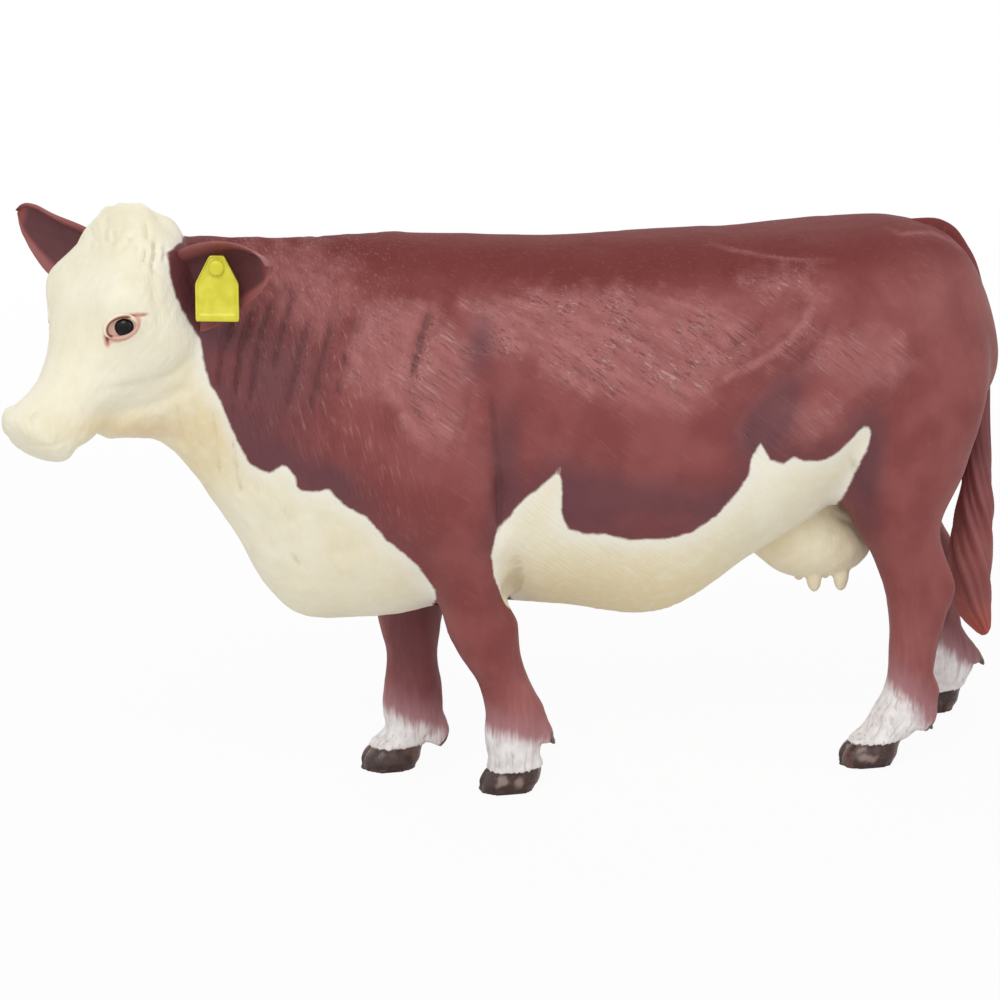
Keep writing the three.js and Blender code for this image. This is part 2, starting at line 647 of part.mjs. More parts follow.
// The tag, a flat plate with sloped shoulders and a hole for the pin, hung from the hole.
function tagSolid() {
  const half = TAG_WIDTH / 2;
  const top = TAG_HEIGHT * tagShares.hole;
  const foot = top - TAG_HEIGHT;
  const shoulder = top - TAG_HEIGHT * tagShares.shoulder;
  const neck = half * tagShares.neck;
  const round = half * tagShares.corner;
  const shape = new THREE.Shape();
  shape.moveTo(-half + round, foot);
  shape.lineTo(half - round, foot);
  shape.quadraticCurveTo(half, foot, half, foot + round);
  shape.lineTo(half, shoulder - round);
  shape.quadraticCurveTo(half, shoulder, half - round, shoulder + round);
  shape.lineTo(neck, top - round);
  shape.quadraticCurveTo(0, top + round / 2, -neck, top - round);
  shape.lineTo(-half + round, shoulder + round);
  shape.quadraticCurveTo(-half, shoulder, -half, shoulder - round);
  shape.lineTo(-half, foot + round);
  shape.quadraticCurveTo(-half, foot, -half + round, foot);
  const hole = new THREE.Path().absarc(0, 0, STUD_PIN_RADIUS + PIN_PLAY, 0, 2 * Math.PI, true);
  shape.holes.push(hole);
  const back = EAR_BLADE / 2 + STUD_COLLAR_LENGTH + PIN_PLAY;
  const fineness = { bevelEnabled: false, curveSegments: TAG_CORNER_STEP_COUNT };
  const geometry = new THREE.ExtrudeGeometry(shape, { depth: TAG_BLADE, ...fineness });
  return solid(geometry.translate(0, 0, back));
}

// The udder, a rounded bag with four teats, its top sunk in the belly and grown by a gap.
function udder(grow) {
  const middleX = TRUNK_LENGTH * udderPlaceShares.along;
  const bellyZ = BACK_HEIGHT * udderPlaceShares.up;
  const rings = evenShares(UDDER_RING_COUNT, udderShares.down[0], 1).map((down, ring) => {
    const read = (column) => readRow(udderShares.down, udderShares[column], down);
    const half = (UDDER_WIDTH / 2) * read("size") + grow;
    const reach = (UDDER_LENGTH / 2) * read("size") + grow;
    const size = { ...legRoundnessShares, top: reach, bottom: -reach, half };
    const outline = sectionPoints(TRUNK_SIDE_COUNT, size);
    const centreX = middleX + UDDER_LENGTH * read("back");
    const height = bellyZ - UDDER_DROP * down + (ring === 0 ? grow : 0);
    return outline.map((point) => new THREE.Vector3(centreX + point.y, point.x, height));
  });
  const teatZ = bellyZ - UDDER_DROP + TEAT_LENGTH * TEAT_SUNK_SHARE;
  const radii = new THREE.Vector3(TEAT_RADIUS, TEAT_RADIUS, TEAT_LENGTH);
  const teats = teatShares.map(([back, side]) => {
    const place = new THREE.Vector3(middleX + UDDER_LENGTH * back, UDDER_WIDTH * side, teatZ);
    return ellipsoid(radii, place);
  });
  return union([loft(rings), ...teats]);
}

// The tail, swept down behind the rump to a grooved tuft, grown by a gap.
function tail(grow) {
  const rings = evenShares(TAIL_RING_COUNT, tailShares.down[0], 1).map((down) => {
    const read = (column) => readRow(tailShares.down, tailShares[column], down);
    const size = THREE.MathUtils.lerp(TAIL_THICKNESS, TUFT_WIDTH, read("tuft")) * read("size");
    const centre = new THREE.Vector3(
      TRUNK_LENGTH + TAIL_DROP * read("back"),
      TAIL_DROP * read("across"),
      BACK_HEIGHT * TAIL_HEAD_SHARE - TAIL_DROP * down,
    );
    return { centre, radius: size / 2 + grow, groove: TUFT_GROOVE_SHARE * read("tuft") };
  });
  const placed = rings.map(({ centre, radius, groove }, index) => {
    const before = rings[Math.max(index - 1, 0)].centre;
    const after = rings[Math.min(index + 1, rings.length - 1)].centre;
    const heading = after.clone().sub(before).normalize();
    const side = new THREE.Vector3(0, 1, 0);
    const back = side.clone().cross(heading).normalize();
    return evenShares(TAIL_SIDE_COUNT + 1, 0, 2 * Math.PI)
      .slice(0, TAIL_SIDE_COUNT)
      .map((angle) => {
        const reach = radius * (1 - groove * (1 + Math.cos(TUFT_LOCK_COUNT * angle)));
        const offset = along([reach * Math.cos(angle), back], [reach * Math.sin(angle), side]);
        return centre.clone().add(offset);
      });
  });
  return loft(placed);
}

// The two hip bones, which push the skin out at the top of each flank.
function hipBones() {
  const radii = new THREE.Vector3(HIP_BONE_LENGTH, HIP_BONE_RADIUS, HIP_BONE_RADIUS);
  const placeX = TRUNK_LENGTH * hipShares.along;
  const placeZ = BACK_HEIGHT * hipShares.up;
  return [-1, 1].map((side) => {
    const place = new THREE.Vector3(placeX, BARREL_HALF_WIDTH * hipShares.across * side, placeZ);
    return ellipsoid(radii, place, new THREE.Matrix4(), ROUND_SIDE_COUNT);
  });
}

// The whole animal is modelled first, then cut into its pieces along the seams.
const plans = Object.values(legPlans);
const legs = plans.map((plan) => legLoft(plan, 0).add(union(dewclaws(plan))).subtract(cleft(plan)));
const upperLegs = legs.map((leg, index) => leg.subtract(belowSeam(plans[index])));
const animal = union([trunkLoft(), headLoft(), ...eyes(), ...hipBones(), ...upperLegs]);
const earSockets = Object.values(earPlans).map((plan) => earLoft(plan, GLUE_GAP));

// The head, with its peg, is what lies ahead of the neck seam.
function headPiece() {
  const skull = mainBody(animal.intersect(headSide(-GLUE_GAP / 2)));
  return skull.add(neckPeg(0)).subtract(union([...muzzleCuts(), ...earSockets]));
}

// The torso is the rest, with a socket for every piece that is glued into it.
function torsoPiece() {
  const legSockets = plans.flatMap((plan) => [
    legLoft(plan, GLUE_GAP).intersect(belowSeam(plan)),
    bar(LEG_PEG_RADIUS + GLUE_GAP, LEG_PEG_LENGTH + GLUE_GAP, pegPlace(plan)),
  ]);
  const others = [headSide(GLUE_GAP / 2), neckPeg(GLUE_GAP), udder(GLUE_GAP), tail(GLUE_GAP)];
  return mainBody(animal.subtract(union([...legSockets, ...others, ...earSockets])));
}

// A leg is its loft below the seam, with the peg that plugs it into the torso.
function legPiece(index) {
  const plan = plans[index];
  const peg = bar(LEG_PEG_RADIUS, LEG_PEG_LENGTH, pegPlace(plan));
  return legs[index].intersect(belowSeam(plan)).add(peg);
}

// The tagged ear has a hole for the stud.
function taggedEar() {
  const stud = studSolid(PIN_PLAY).transform(studPlace.elements);
  return mainBody(earLoft(earPlans.left_ear, 0).subtract(stud));
}

const group = new THREE.Group();

// Adds one piece to the group as a named mesh with its own material.
function addPiece(name, shape, look, frame = new THREE.Matrix4()) {
  const made = shape.getMesh();
  const geometry = new THREE.BufferGeometry();
  geometry.setAttribute("position", new THREE.BufferAttribute(made.vertProperties, 3));
  geometry.setIndex(new THREE.BufferAttribute(made.triVerts, 1));
  geometry.computeVertexNormals();
  const mesh = new THREE.Mesh(geometry, new THREE.MeshStandardMaterial(look));
  mesh.name = name;
  mesh.applyMatrix4(frame);
  group.add(mesh);
}

addPiece("torso", torsoPiece(), RED);
addPiece("head", headPiece(), CREAM);
Object.keys(legPlans).forEach((name, index) => addPiece(name, legPiece(index), RED));
addPiece("udder", udder(0), CREAM);
addPiece("tail", tail(0), RED);
addPiece("left_ear", taggedEar(), RED);
addPiece("right_ear", earLoft(earPlans.right_ear, 0), RED);
addPiece("tag_stud", studSolid(0), YELLOW, studPlace);
addPiece("ear_tag", tagSolid(), YELLOW, studPlace);

// The origin is on the ground, under the middle of the figure's box.
const bounds = new THREE.Box3().setFromObject(group);
const middle = bounds.getCenter(new THREE.Vector3());
group.position.set(-middle.x, -middle.y, -bounds.min.z);

export default group;
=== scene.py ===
# %% [markdown]
# # A moulded toy cow, dressed from its imported solids
# The real object is one small animal cast in a rigid plastic, sculpted all over with hair
# and skin folds, then sprayed and brushed by hand. The imported frame gives its bodies: the
# cow itself, and the yellow ear tag that swings on its stud. Everything here is worked out
# in millimetres with numpy and written to the meshes in metres.

# %% Load the imported frame
import math

import bmesh
import bpy
import numpy as np
from mathutils import Matrix


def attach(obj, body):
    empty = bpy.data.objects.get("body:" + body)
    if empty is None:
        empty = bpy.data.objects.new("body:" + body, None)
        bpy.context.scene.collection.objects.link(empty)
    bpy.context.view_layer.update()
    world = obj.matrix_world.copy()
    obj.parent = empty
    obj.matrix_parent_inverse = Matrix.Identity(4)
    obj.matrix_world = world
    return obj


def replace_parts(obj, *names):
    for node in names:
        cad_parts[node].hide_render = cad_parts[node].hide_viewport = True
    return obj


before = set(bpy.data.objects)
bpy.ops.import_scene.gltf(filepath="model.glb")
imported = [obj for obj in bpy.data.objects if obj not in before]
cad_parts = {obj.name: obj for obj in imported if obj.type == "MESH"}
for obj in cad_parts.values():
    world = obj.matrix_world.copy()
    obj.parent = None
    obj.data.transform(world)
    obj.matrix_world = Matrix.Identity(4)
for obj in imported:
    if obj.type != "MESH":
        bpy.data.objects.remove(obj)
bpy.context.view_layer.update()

MM = 0.001

# %% [markdown]
# ## The camera
# The photograph looks at the cow's left side, a little from ahead and a little from above,
# through a long lens. The camera comes first, because the paint pattern and the folds are
# set out on the picture: a point of the surface is projected through this camera, and the
# place it falls on says what is painted and carved there.

# %% Camera at the photograph's viewpoint
AIM = np.array([-2.22, 1.60, 36.9])
CAMERA_TURN, CAMERA_RISE = math.radians(-15.0), math.radians(14.5)
CAMERA_DISTANCE = 560.0
LENS, SENSOR = 155.08, 36.0
IMAGE_SIZE = 1000

sin_turn, cos_turn = math.sin(CAMERA_TURN), math.cos(CAMERA_TURN)
sin_rise, cos_rise = math.sin(CAMERA_RISE), math.cos(CAMERA_RISE)
view_right = np.array([cos_turn, sin_turn, 0.0])
view_up = np.array([-sin_turn * sin_rise, cos_turn * sin_rise, cos_rise])
view_back = np.array([sin_turn * cos_rise, -cos_turn * cos_rise, sin_rise])


def linked(name, data):
    """A new object of the scene for some data."""
    made = bpy.data.objects.new(name, data)
    bpy.context.scene.collection.objects.link(made)
    return made


def new_mesh(name, points, faces):
    """A mesh from an array of points and a list of faces."""
    mesh = bpy.data.meshes.new(name)
    mesh.from_pydata(points.tolist(), [], faces)
    return mesh


def standing(right, up, back, place_m):
    """A matrix with three axes as its columns, at a place in metres."""
    return Matrix([[right[k], up[k], back[k], place_m[k]] for k in range(3)]
                  + [[0.0, 0.0, 0.0, 1.0]])


camera_data = bpy.data.cameras.new("photo_camera")
camera_data.lens, camera_data.sensor_width = LENS, SENSOR
camera_data.clip_start, camera_data.clip_end = 0.01, 20.0
camera = linked("photo_camera", camera_data)
camera.matrix_world = standing(view_right, view_up, view_back,
                               (AIM + CAMERA_DISTANCE * view_back) * MM)
bpy.context.scene.camera = camera

# %% Projecting points on to the picture
def photo_place(points):
    """Where points fall on the picture, in its pixels: the offset from the aim along the
    view's right and up, times the focal length over the distance in front of the lens."""
    local = points - AIM
    scale = LENS / SENSOR * IMAGE_SIZE / (CAMERA_DISTANCE - local @ view_back)
    middle = IMAGE_SIZE / 2
    return np.stack([middle + scale * (local @ view_right),
                     middle - scale * (local @ view_up)], axis=-1)


left_sole = np.array([[-1.0, -5.9, 0.0]])
print("camera: sole of the left forefoot at pixel", photo_place(left_sole)[0])

# %% [markdown]
# ## Smooth surfaces from tables
# The animal is a set of lofts: the trunk, the skull and each leg are sections whose sizes
# are read from a short table. Catmull-Rom slopes between the rows give a surface with no
# flat facets, at any fineness. The same tables drive the solids, so both agree.

# %% Reading a table, and the shape of a section
def read_row(places, values, at):
    """A smooth value between the rows of a table: a cubic on each span, whose slopes at its
    two ends are those of the lines through the rows on either side."""
    places, values = np.asarray(places, float), np.asarray(values, float)
    at = np.clip(at, places[0], places[-1])
    last = len(places) - 1
    row = np.clip(np.searchsorted(places, at) - 1, 0, last - 1)
    index = np.arange(last + 1)
    before, after = np.maximum(index - 1, 0), np.minimum(index + 1, last)
    slope = (values[after] - values[before]) / (places[after] - places[before])
    span = places[row + 1] - places[row]
    part, rise = (at - places[row]) / span, values[row + 1] - values[row]
    start, end = slope[row] * span, slope[row + 1] * span
    bend = start + end - 2 * rise
    return values[row] + start * part + (rise - start - bend) * part**2 + bend * part**3


def signed_power(value, power):
    """A number's size raised to a power, with its sign kept."""
    return np.sign(value) * np.abs(value) ** power


def unit(vectors):
    """Vectors divided by their own lengths."""
    return vectors / np.linalg.norm(vectors, axis=-1, keepdims=True)


def bell(value, width):
    """A soft bump round zero: exp(-(value / width) squared)."""
    return np.exp(-(value / width) ** 2)


def section(angle, top, bottom, half, widest, crown, keel):
    """Across and height of a closed section: above the waist it is a superellipse of power
    crown, below it one of power keel, and the waist lies at the share widest."""
    waist = bottom + (top - bottom) * widest
    rise, out = np.sin(angle), np.cos(angle)
    power = 2 / np.where(rise >= 0, crown, keel)
    reach = np.where(rise >= 0, top - waist, waist - bottom)
    return half * signed_power(out, power), waist + reach * signed_power(rise, power)

# %% A closed surface from a grid of rings
def grid_faces(rings, sides, closed=False):
    """Quads between neighbouring rings of a grid and, if it is closed, between its last ring
    and its first."""
    ring, side = np.meshgrid(np.arange(rings if closed else rings - 1), np.arange(sides),
                             indexing="ij")
    here, beyond, after = ring * sides, (ring + 1) % rings * sides, (side + 1) % sides
    return np.stack([here + side, here + after, beyond + after, beyond + side],
                    -1).reshape(-1, 4)


def loft(rings):
    """Vertices and faces through rings of points: quads between neighbouring rings, and a
    fan to the middle of the first and last ring. Faces are turned outwards at the end."""
    count, sides, _ = rings.shape
    rim, last = np.arange(sides), (count - 1) * sides
    first_cap = np.stack([np.full(sides, count * sides), (rim + 1) % sides, rim], -1)
    last_cap = np.stack([np.full(sides, count * sides + 1), last + rim,
                         last + (rim + 1) % sides], -1)
    points = np.concatenate([rings.reshape(-1, 3), [rings[0].mean(0)], [rings[-1].mean(0)]])
    return outward(points, grid_faces(count, sides).tolist() + first_cap.tolist()
                   + last_cap.tolist())


def outward(points, faces):
    """The same faces, all reversed if the volume that they enclose comes out negative. The
    volume is the sum over triangles of a corner's scalar triple product, over six."""
    first = np.array([face[:3] for face in faces])
    second = np.array([[face[0], face[-2], face[-1]] for face in faces if len(face) == 4])
    total = 0.0
    for corners in (first, second):
        if len(corners):
            a, b, c = (points[corners[:, k]] for k in range(3))
            total += np.einsum("ij,ij->i", a, np.cross(b, c)).sum()
    return points, faces if total > 0 else [face[::-1] for face in faces]


def joined(parts):
    """Several surfaces as one set of vertices and faces."""
    points, faces, start = [], [], 0
    for part_points, part_faces in parts:
        points.append(part_points)
        faces += [[start + corner for corner in face] for face in part_faces]
        start += len(part_points)
    return np.concatenate(points), faces

# %% Grids, and tables read on them
def spaced(count, first, last):
    """Evenly spaced numbers as a column, to go down the rings of a grid."""
    return np.linspace(first, last, count)[:, None]


def turns(count):
    """Evenly spaced angles of one full turn as a row, to go round a ring."""
    return (np.arange(count) * 2 * math.pi / count)[None, :]


GRIDS = {"trunk": (220, 200), "skull": (150, 128), "leg": (140, 72), "ear": (84, 72),
         "tail": (260, 72), "udder": (60, 90)}


def grid(name, first, last):
    """The places down a loft and the angles round it, as many as its grid has."""
    rings, sides = GRIDS[name]
    return spaced(rings, first, last), turns(sides)


def read_table(table, key, at):
    """Every other row of a table, read at places given in the row named key."""
    return {name: read_row(table[key], values, at) for name, values in table.items()
            if name != key}

# %% The trunk's table and its loft
PART_OFFSET = np.array([-48.7161, 1.6016, 0.0])
TRUNK_LENGTH, BACK_HEIGHT, BARREL_HALF_WIDTH, NECK_SWING = 113.5, 73.0, 17.0, 7.5
TRUNK = {
    "along": [-0.085, -0.05, 0, 0.04, 0.09, 0.125, 0.165, 0.22, 0.28,
              0.36, 0.47, 0.59, 0.7, 0.8, 0.89, 0.95, 0.985, 1],
    "top": [0.9, 0.97, 1.02, 1.028, 1.022, 1.015, 1.008, 1.002, 1.0,
            0.99, 0.977, 0.977, 0.975, 0.98, 0.98, 0.94, 0.855, 0.76],
    "belly": [0.73, 0.685, 0.68, 0.62, 0.5, 0.4, 0.335, 0.318, 0.315,
              0.33, 0.315, 0.29, 0.38, 0.46, 0.52, 0.58, 0.64, 0.68],
    "half": [0.16, 0.28, 0.41, 0.44, 0.48, 0.53, 0.6, 0.72, 0.8,
             0.86, 0.95, 1, 0.98, 0.92, 0.8, 0.62, 0.44, 0.28],
    "widest": [0.5, 0.5, 0.5, 0.48, 0.46, 0.46, 0.46, 0.48, 0.5,
               0.5, 0.46, 0.42, 0.46, 0.52, 0.55, 0.55, 0.5, 0.5],
    "crown": [2, 2, 2, 2, 1.9, 1.9, 1.9, 2, 2.1, 2.2, 2.3, 2.4, 2.6, 2.7, 2.5, 2.3, 2, 2],
    "keel": [2, 2, 2, 2, 1.9, 1.8, 1.8, 1.9, 2, 2, 2.1, 2.1, 2, 2, 2, 2, 2, 2],
    "swing": [1.6, 1.35, 1, 0.86, 0.7, 0.55, 0.38, 0.18, 0.06, 0, 0, 0, 0, 0, 0, 0, 0, 0],
}


def table_sizes(table, place, depth, half_width):
    """The six sizes of a section at a place, read from a table of shares."""
    size = read_table(table, "along", place)
    return (depth * size["top"], depth * size["belly"], half_width * size["half"],
            size["widest"], size["crown"], size["keel"])


def trunk_surface():
    """(x, y, z) = (length * place, swing + across, height) of the section at each place."""
    place, angle = grid("trunk", TRUNK["along"][0], 1.0)
    across, height = section(angle, *table_sizes(TRUNK, place, BACK_HEIGHT, BARREL_HALF_WIDTH))
    middle = -NECK_SWING * read_row(TRUNK["along"], TRUNK["swing"], place)
    x = np.broadcast_to(TRUNK_LENGTH * place, across.shape)
    return loft(np.stack([x, middle + across, height], -1) + PART_OFFSET)


def ball(centre, radii, axes=np.eye(3), rings=26, sides=40, pole=0.04):
    """An ellipsoid: centre + radii * (sin v cos u, sin v sin u, cos v) along its axes."""
    v, u = spaced(rings, pole, math.pi - pole), turns(sides)
    sphere = np.stack([np.sin(v) * np.cos(u), np.sin(v) * np.sin(u),
                       np.broadcast_to(np.cos(v), (rings, sides))], -1)
    return loft(sphere * np.asarray(radii) @ np.asarray(axes) + centre)


def hip_bones():
    """An ellipsoid on each side at the top of the flank."""
    return [ball(np.array([TRUNK_LENGTH * 0.7, BARREL_HALF_WIDTH * 0.58 * side,
                           BACK_HEIGHT * 0.876]) + PART_OFFSET, (9.0, 4.0, 4.0))
            for side in (-1, 1)]


trunk_part = trunk_surface()
print("trunk:", len(trunk_part[0]), "vertices")

# %% The skull's table, its frame and its loft
HEAD_LENGTH, HEAD_DEPTH, HEAD_HALF_WIDTH = 32.0, 19.0, 7.4
HEAD_TURN, HEAD_DROP = math.radians(28.0), math.radians(50.0)
SKULL = {
    "along": [-0.06, -0.035, 0.03, 0.1, 0.21, 0.33, 0.42,
              0.53, 0.65, 0.77, 0.87, 0.945, 0.99, 1.015],
    "top": [-0.18, -0.05, 0.05, 0.06, 0.05, 0.035, -0.01,
            -0.08, -0.13, -0.14, -0.09, -0.05, -0.11, -0.22],
    "belly": [-0.34, -0.42, -0.58, -0.78, -0.95, -0.99, -0.95,
              -0.86, -0.75, -0.67, -0.62, -0.575, -0.51, -0.42],
    "half": [0.28, 0.52, 0.76, 0.9, 1.08, 1.2, 1.17,
             0.96, 0.75, 0.64, 0.66, 0.66, 0.56, 0.34],
    "widest": [0.6, 0.6, 0.6, 0.58, 0.58, 0.6, 0.64, 0.62, 0.56, 0.52, 0.5, 0.5, 0.5, 0.5],
    "crown": [2, 2.1, 2.1, 2.3, 2.8, 3.2, 3, 2.4, 2.1, 2.1, 2.2, 2.3, 2.2, 2],
    "keel": [2, 2.2, 2.4, 2.6, 2.8, 2.8, 2.6, 2.3, 2.1, 2.1, 2.2, 2.2, 2.1, 2],
}
head_ahead = np.array([-math.cos(HEAD_TURN), -math.sin(HEAD_TURN), 0.0])
head_right = np.array([-math.sin(HEAD_TURN), math.cos(HEAD_TURN), 0.0])
upright = np.array([0.0, 0.0, 1.0])
face_down = math.cos(HEAD_DROP) * head_ahead - math.sin(HEAD_DROP) * upright
face_out = math.sin(HEAD_DROP) * head_ahead + math.cos(HEAD_DROP) * upright
head_axes = np.array([face_down, face_out, head_right])
poll = np.array([TRUNK_LENGTH * -0.027, BARREL_HALF_WIDTH * -0.5, BACK_HEIGHT * 1.092]) \
    + PART_OFFSET


def in_head(down, out, side):
    """A place in the head's own frame, as a point of the row frame."""
    return np.array([down, out, side]) @ head_axes + poll


def skull_surface():
    """(down, out, side) of a section at each place from the poll to the muzzle."""
    place, angle = grid("skull", SKULL["along"][0], SKULL["along"][-1])
    across, height = section(angle, *table_sizes(SKULL, place, HEAD_DEPTH, HEAD_HALF_WIDTH))
    down = np.broadcast_to(HEAD_LENGTH * place, across.shape)
    return loft(np.stack([down, height, across], -1) @ head_axes + poll)


skull_part = skull_surface()
print("skull:", len(skull_part[0]), "vertices, poll at", poll.round(2))

# %% The legs' tables and their lofts
HOOF_LENGTH, HOOF_WIDTH, HOOF_HEIGHT = 8.4, 7.2, 3.2
HOOF_SOLE, HOOF_RIM = 0.5, 0.43
ROUND = 2 / 2.2
FORELEG = {
    # millimetres; then shares of the reach, and of the thickness
    "reach": 62.0, "thickness": 9.2, "seam": 25.0,
    "up": [0.08, 0.12, 0.17, 0.24, 0.3, 0.355, 0.41, 0.5, 0.62, 0.78, 0.92, 1],
    "long": [0.37, 0.43, 0.42, 0.365, 0.43, 0.5, 0.545, 0.7, 0.95, 1.12, 0.95, 0.4],
    "wide": [0.36, 0.37, 0.35, 0.33, 0.39, 0.44, 0.48, 0.6, 0.7, 0.68, 0.42, 0.2],
}
HINDLEG = {
    "reach": 64.0, "thickness": 9.0, "seam": 31.0,
    "up": [0.065, 0.1, 0.15, 0.24, 0.3, 0.37, 0.44, 0.52, 0.64, 0.8, 0.93, 1],
    "long": [0.4, 0.46, 0.42, 0.44, 0.5, 0.61, 0.62, 0.74, 1.06, 1.25, 1.0, 0.5],
    "wide": [0.35, 0.36, 0.33, 0.33, 0.36, 0.4, 0.48, 0.6, 0.7, 0.7, 0.6, 0.3],
}
LEGS = {
    # rows; the sole's place as shares of trunk length and barrel half width; the root's
    # place to the side; and how far each row is set back, in shares of the reach
    "left_foreleg": (FORELEG, (0.399, -0.44), -0.55,
                     [0.0145, 0.0185, 0.018, -0.008, -0.037, -0.053, -0.062, -0.075,
                      -0.108, -0.156, -0.197, -0.213]),
    "right_foreleg": (FORELEG, (0.288, 0.33), 0.5,
                      [0.052, 0.056, 0.056, 0.056, 0.053, 0.052, 0.048, 0.04, 0.024, 0.008,
                       -0.008, -0.016]),
    "left_hindleg": (HINDLEG, (0.831, -0.54), -0.46,
                     [0.045, 0.075, 0.1, 0.112, 0.12, 0.122, 0.096, 0.066, 0.06, 0.075,
                      0.0875, 0.0875]),
    "right_hindleg": (HINDLEG, (0.975, 0.68), 0.46,
                      [0.028, 0.036, 0.032, 0.01, -0.01, -0.03, -0.07, -0.11, -0.148, -0.156,
                       -0.15, -0.15]),
}

# %% Lofting a leg
def leg_rows(name):
    """A leg's rows from the sole up: height share, set back share, half length and width."""
    rows, _, _, sets = LEGS[name]
    top = HOOF_HEIGHT / rows["reach"]
    longs, wides = (
        [size * HOOF_SOLE, size * HOOF_RIM] + [rows["thickness"] * share for share in rows[key]]
        for size, key in ((HOOF_LENGTH, "long"), (HOOF_WIDTH, "wide")))
    return [0, top] + rows["up"], [0, top * 0.4] + sets, longs, wides


def leg_middle(name, height):
    """The middle of a leg at a height: the sole's place, set back by the table's share, and
    moved in a straight line from the sole's side to the root's."""
    rows, sole, root, _ = LEGS[name]
    ups, sets, _, _ = leg_rows(name)
    up = np.clip(np.asarray(height, float) / rows["reach"], 0, 1)
    x = TRUNK_LENGTH * sole[0] + rows["reach"] * read_row(ups, sets, up)
    y = BARREL_HALF_WIDTH * (sole[1] + (root - sole[1]) * up)
    return np.stack([x, y, rows["reach"] * up], -1) + PART_OFFSET


def leg_surface(name):
    """Level sections, a superellipse of power 2.2 round the leg's middle at each height."""
    ups, _, longs, wides = leg_rows(name)
    up, angle = grid("leg", 0, 1)
    x = read_row(ups, longs, up) * signed_power(np.sin(angle), ROUND)
    y = read_row(ups, wides, up) * signed_power(np.cos(angle), ROUND)
    middle = leg_middle(name, LEGS[name][0]["reach"] * up[:, 0])[:, None, :]
    return loft(middle + np.stack([x, y, np.zeros_like(x)], -1))


leg_parts = {name: leg_surface(name) for name in LEGS}
print("legs:", {name: len(part[0]) for name, part in leg_parts.items()})

# %% [markdown]
# ## One skin
# On the real toy the neck runs into the head and the thigh into the flank with no edge. The
# lofts overlap, so a voxel remesh melts them into one closed skin, and a smoothing pass
# turns the creases between them into muscle. The skin is cut back into its pieces only at
# the end, after the carving, so that nothing shows at the cuts.

# %% Fusing the lofts
def read_back(items, key, per_item=1, kind=float):
    """One property of every item of a mesh's collection, as a flat array."""
    values = np.empty(len(items) * per_item, kind)
    items.foreach_get(key, values)
    return values


def fused(parts, voxel):
    """One closed surface round overlapping closed surfaces, by the Remesh modifier."""
    points, faces = joined(parts)
    mesh = new_mesh("fused", points, faces)
    holder = linked("fused", mesh)
    modifier = holder.modifiers.new("melt", "REMESH")
    modifier.mode, modifier.voxel_size = "VOXEL", voxel
    melted = holder.evaluated_get(bpy.context.evaluated_depsgraph_get()).to_mesh()
    points = read_back(melted.vertices, "co", 3)
    corners = read_back(melted.loops, "vertex_index", kind=int)
    bpy.data.objects.remove(holder)
    bpy.data.meshes.remove(mesh)
    return points.reshape(-1, 3), corners.reshape(-1, 4)

# %% Smoothing that keeps the size
def edges_of(quads):
    """Each edge of a quad mesh once, as pairs of vertices."""
    pairs = np.concatenate([quads[:, [k, (k + 1) % 4]] for k in range(4)])
    return np.unique(np.sort(pairs, axis=1), axis=0)


def neighbour_mean(values, edges):
    """For each vertex, the mean of its neighbours' values."""
    count = len(values)
    ends = np.concatenate([edges[:, 0], edges[:, 1]])
    others = np.concatenate([edges[:, 1], edges[:, 0]])
    degree = np.bincount(ends, minlength=count)
    columns = values.reshape(count, -1)
    total = np.stack([np.bincount(ends, columns[others, k], count)
                      for k in range(columns.shape[1])], -1)
    return (total / degree[:, None]).reshape(values.shape)


def relaxed(values, edges, rounds, share=0.5):
    """Values moved by a share towards their neighbours' mean, again and again."""
    for _ in range(rounds):
        values = values + share * (neighbour_mean(values, edges) - values)
    return values


def rounded(points, edges, rounds):
    """Smoothing that keeps the size: relax, then add the relaxed difference back, so waves
    much longer than the reach pass unchanged and short ones go."""
    low = relaxed(points, edges, rounds)
    return low + relaxed(points - low, edges, rounds)


def normals_of(points, quads):
    """Unit vertex normals: each quad's normal is the cross product of its diagonals, and a
    vertex takes the sum over its quads."""
    cross = np.cross(points[quads[:, 2]] - points[quads[:, 0]],
                     points[quads[:, 3]] - points[quads[:, 1]])
    total = np.zeros_like(points)
    for axis in range(3):
        total[:, axis] = np.bincount(quads.ravel(), np.repeat(cross[:, axis], 4), len(points))
    return total / np.maximum(np.linalg.norm(total, axis=1, keepdims=True), 1e-9)


def smoothstep(value, low, high):
    """0 below low, 1 above high, and 3t2 - 2t3 between."""
    part = np.clip((value - low) / (high - low), 0, 1)
    return part * part * (3 - 2 * part)

# %% The skin of the whole animal
SKIN_VOXEL = 0.56
skin, quads = fused([trunk_part, skull_part, *hip_bones(), *leg_parts.values()], SKIN_VOXEL)
edges = edges_of(quads)
print("skin:", len(skin), "vertices,", len(quads), "quads, from", skin.min(0).round(2),
      "to", skin.max(0).round(2))

# %% Where each vertex lies: head, feet and trunk
NECK_SEAM = np.array([TRUNK_LENGTH * 0.018, -NECK_SWING, 0.0]) + PART_OFFSET
SEAM_TURN = 0.7 * HEAD_TURN
seam_ahead = np.array([-math.cos(SEAM_TURN), -math.sin(SEAM_TURN), 0.0])


def ahead_of_seam(points):
    """How far points lie ahead of the neck seam, in millimetres."""
    return (points - NECK_SEAM) @ seam_ahead


def leg_reach(points, name):
    """How far points lie from a leg's middle at their own height, level."""
    middle = leg_middle(name, points[:, 2])
    return np.linalg.norm(points[:, :2] - middle[:, :2], axis=1)


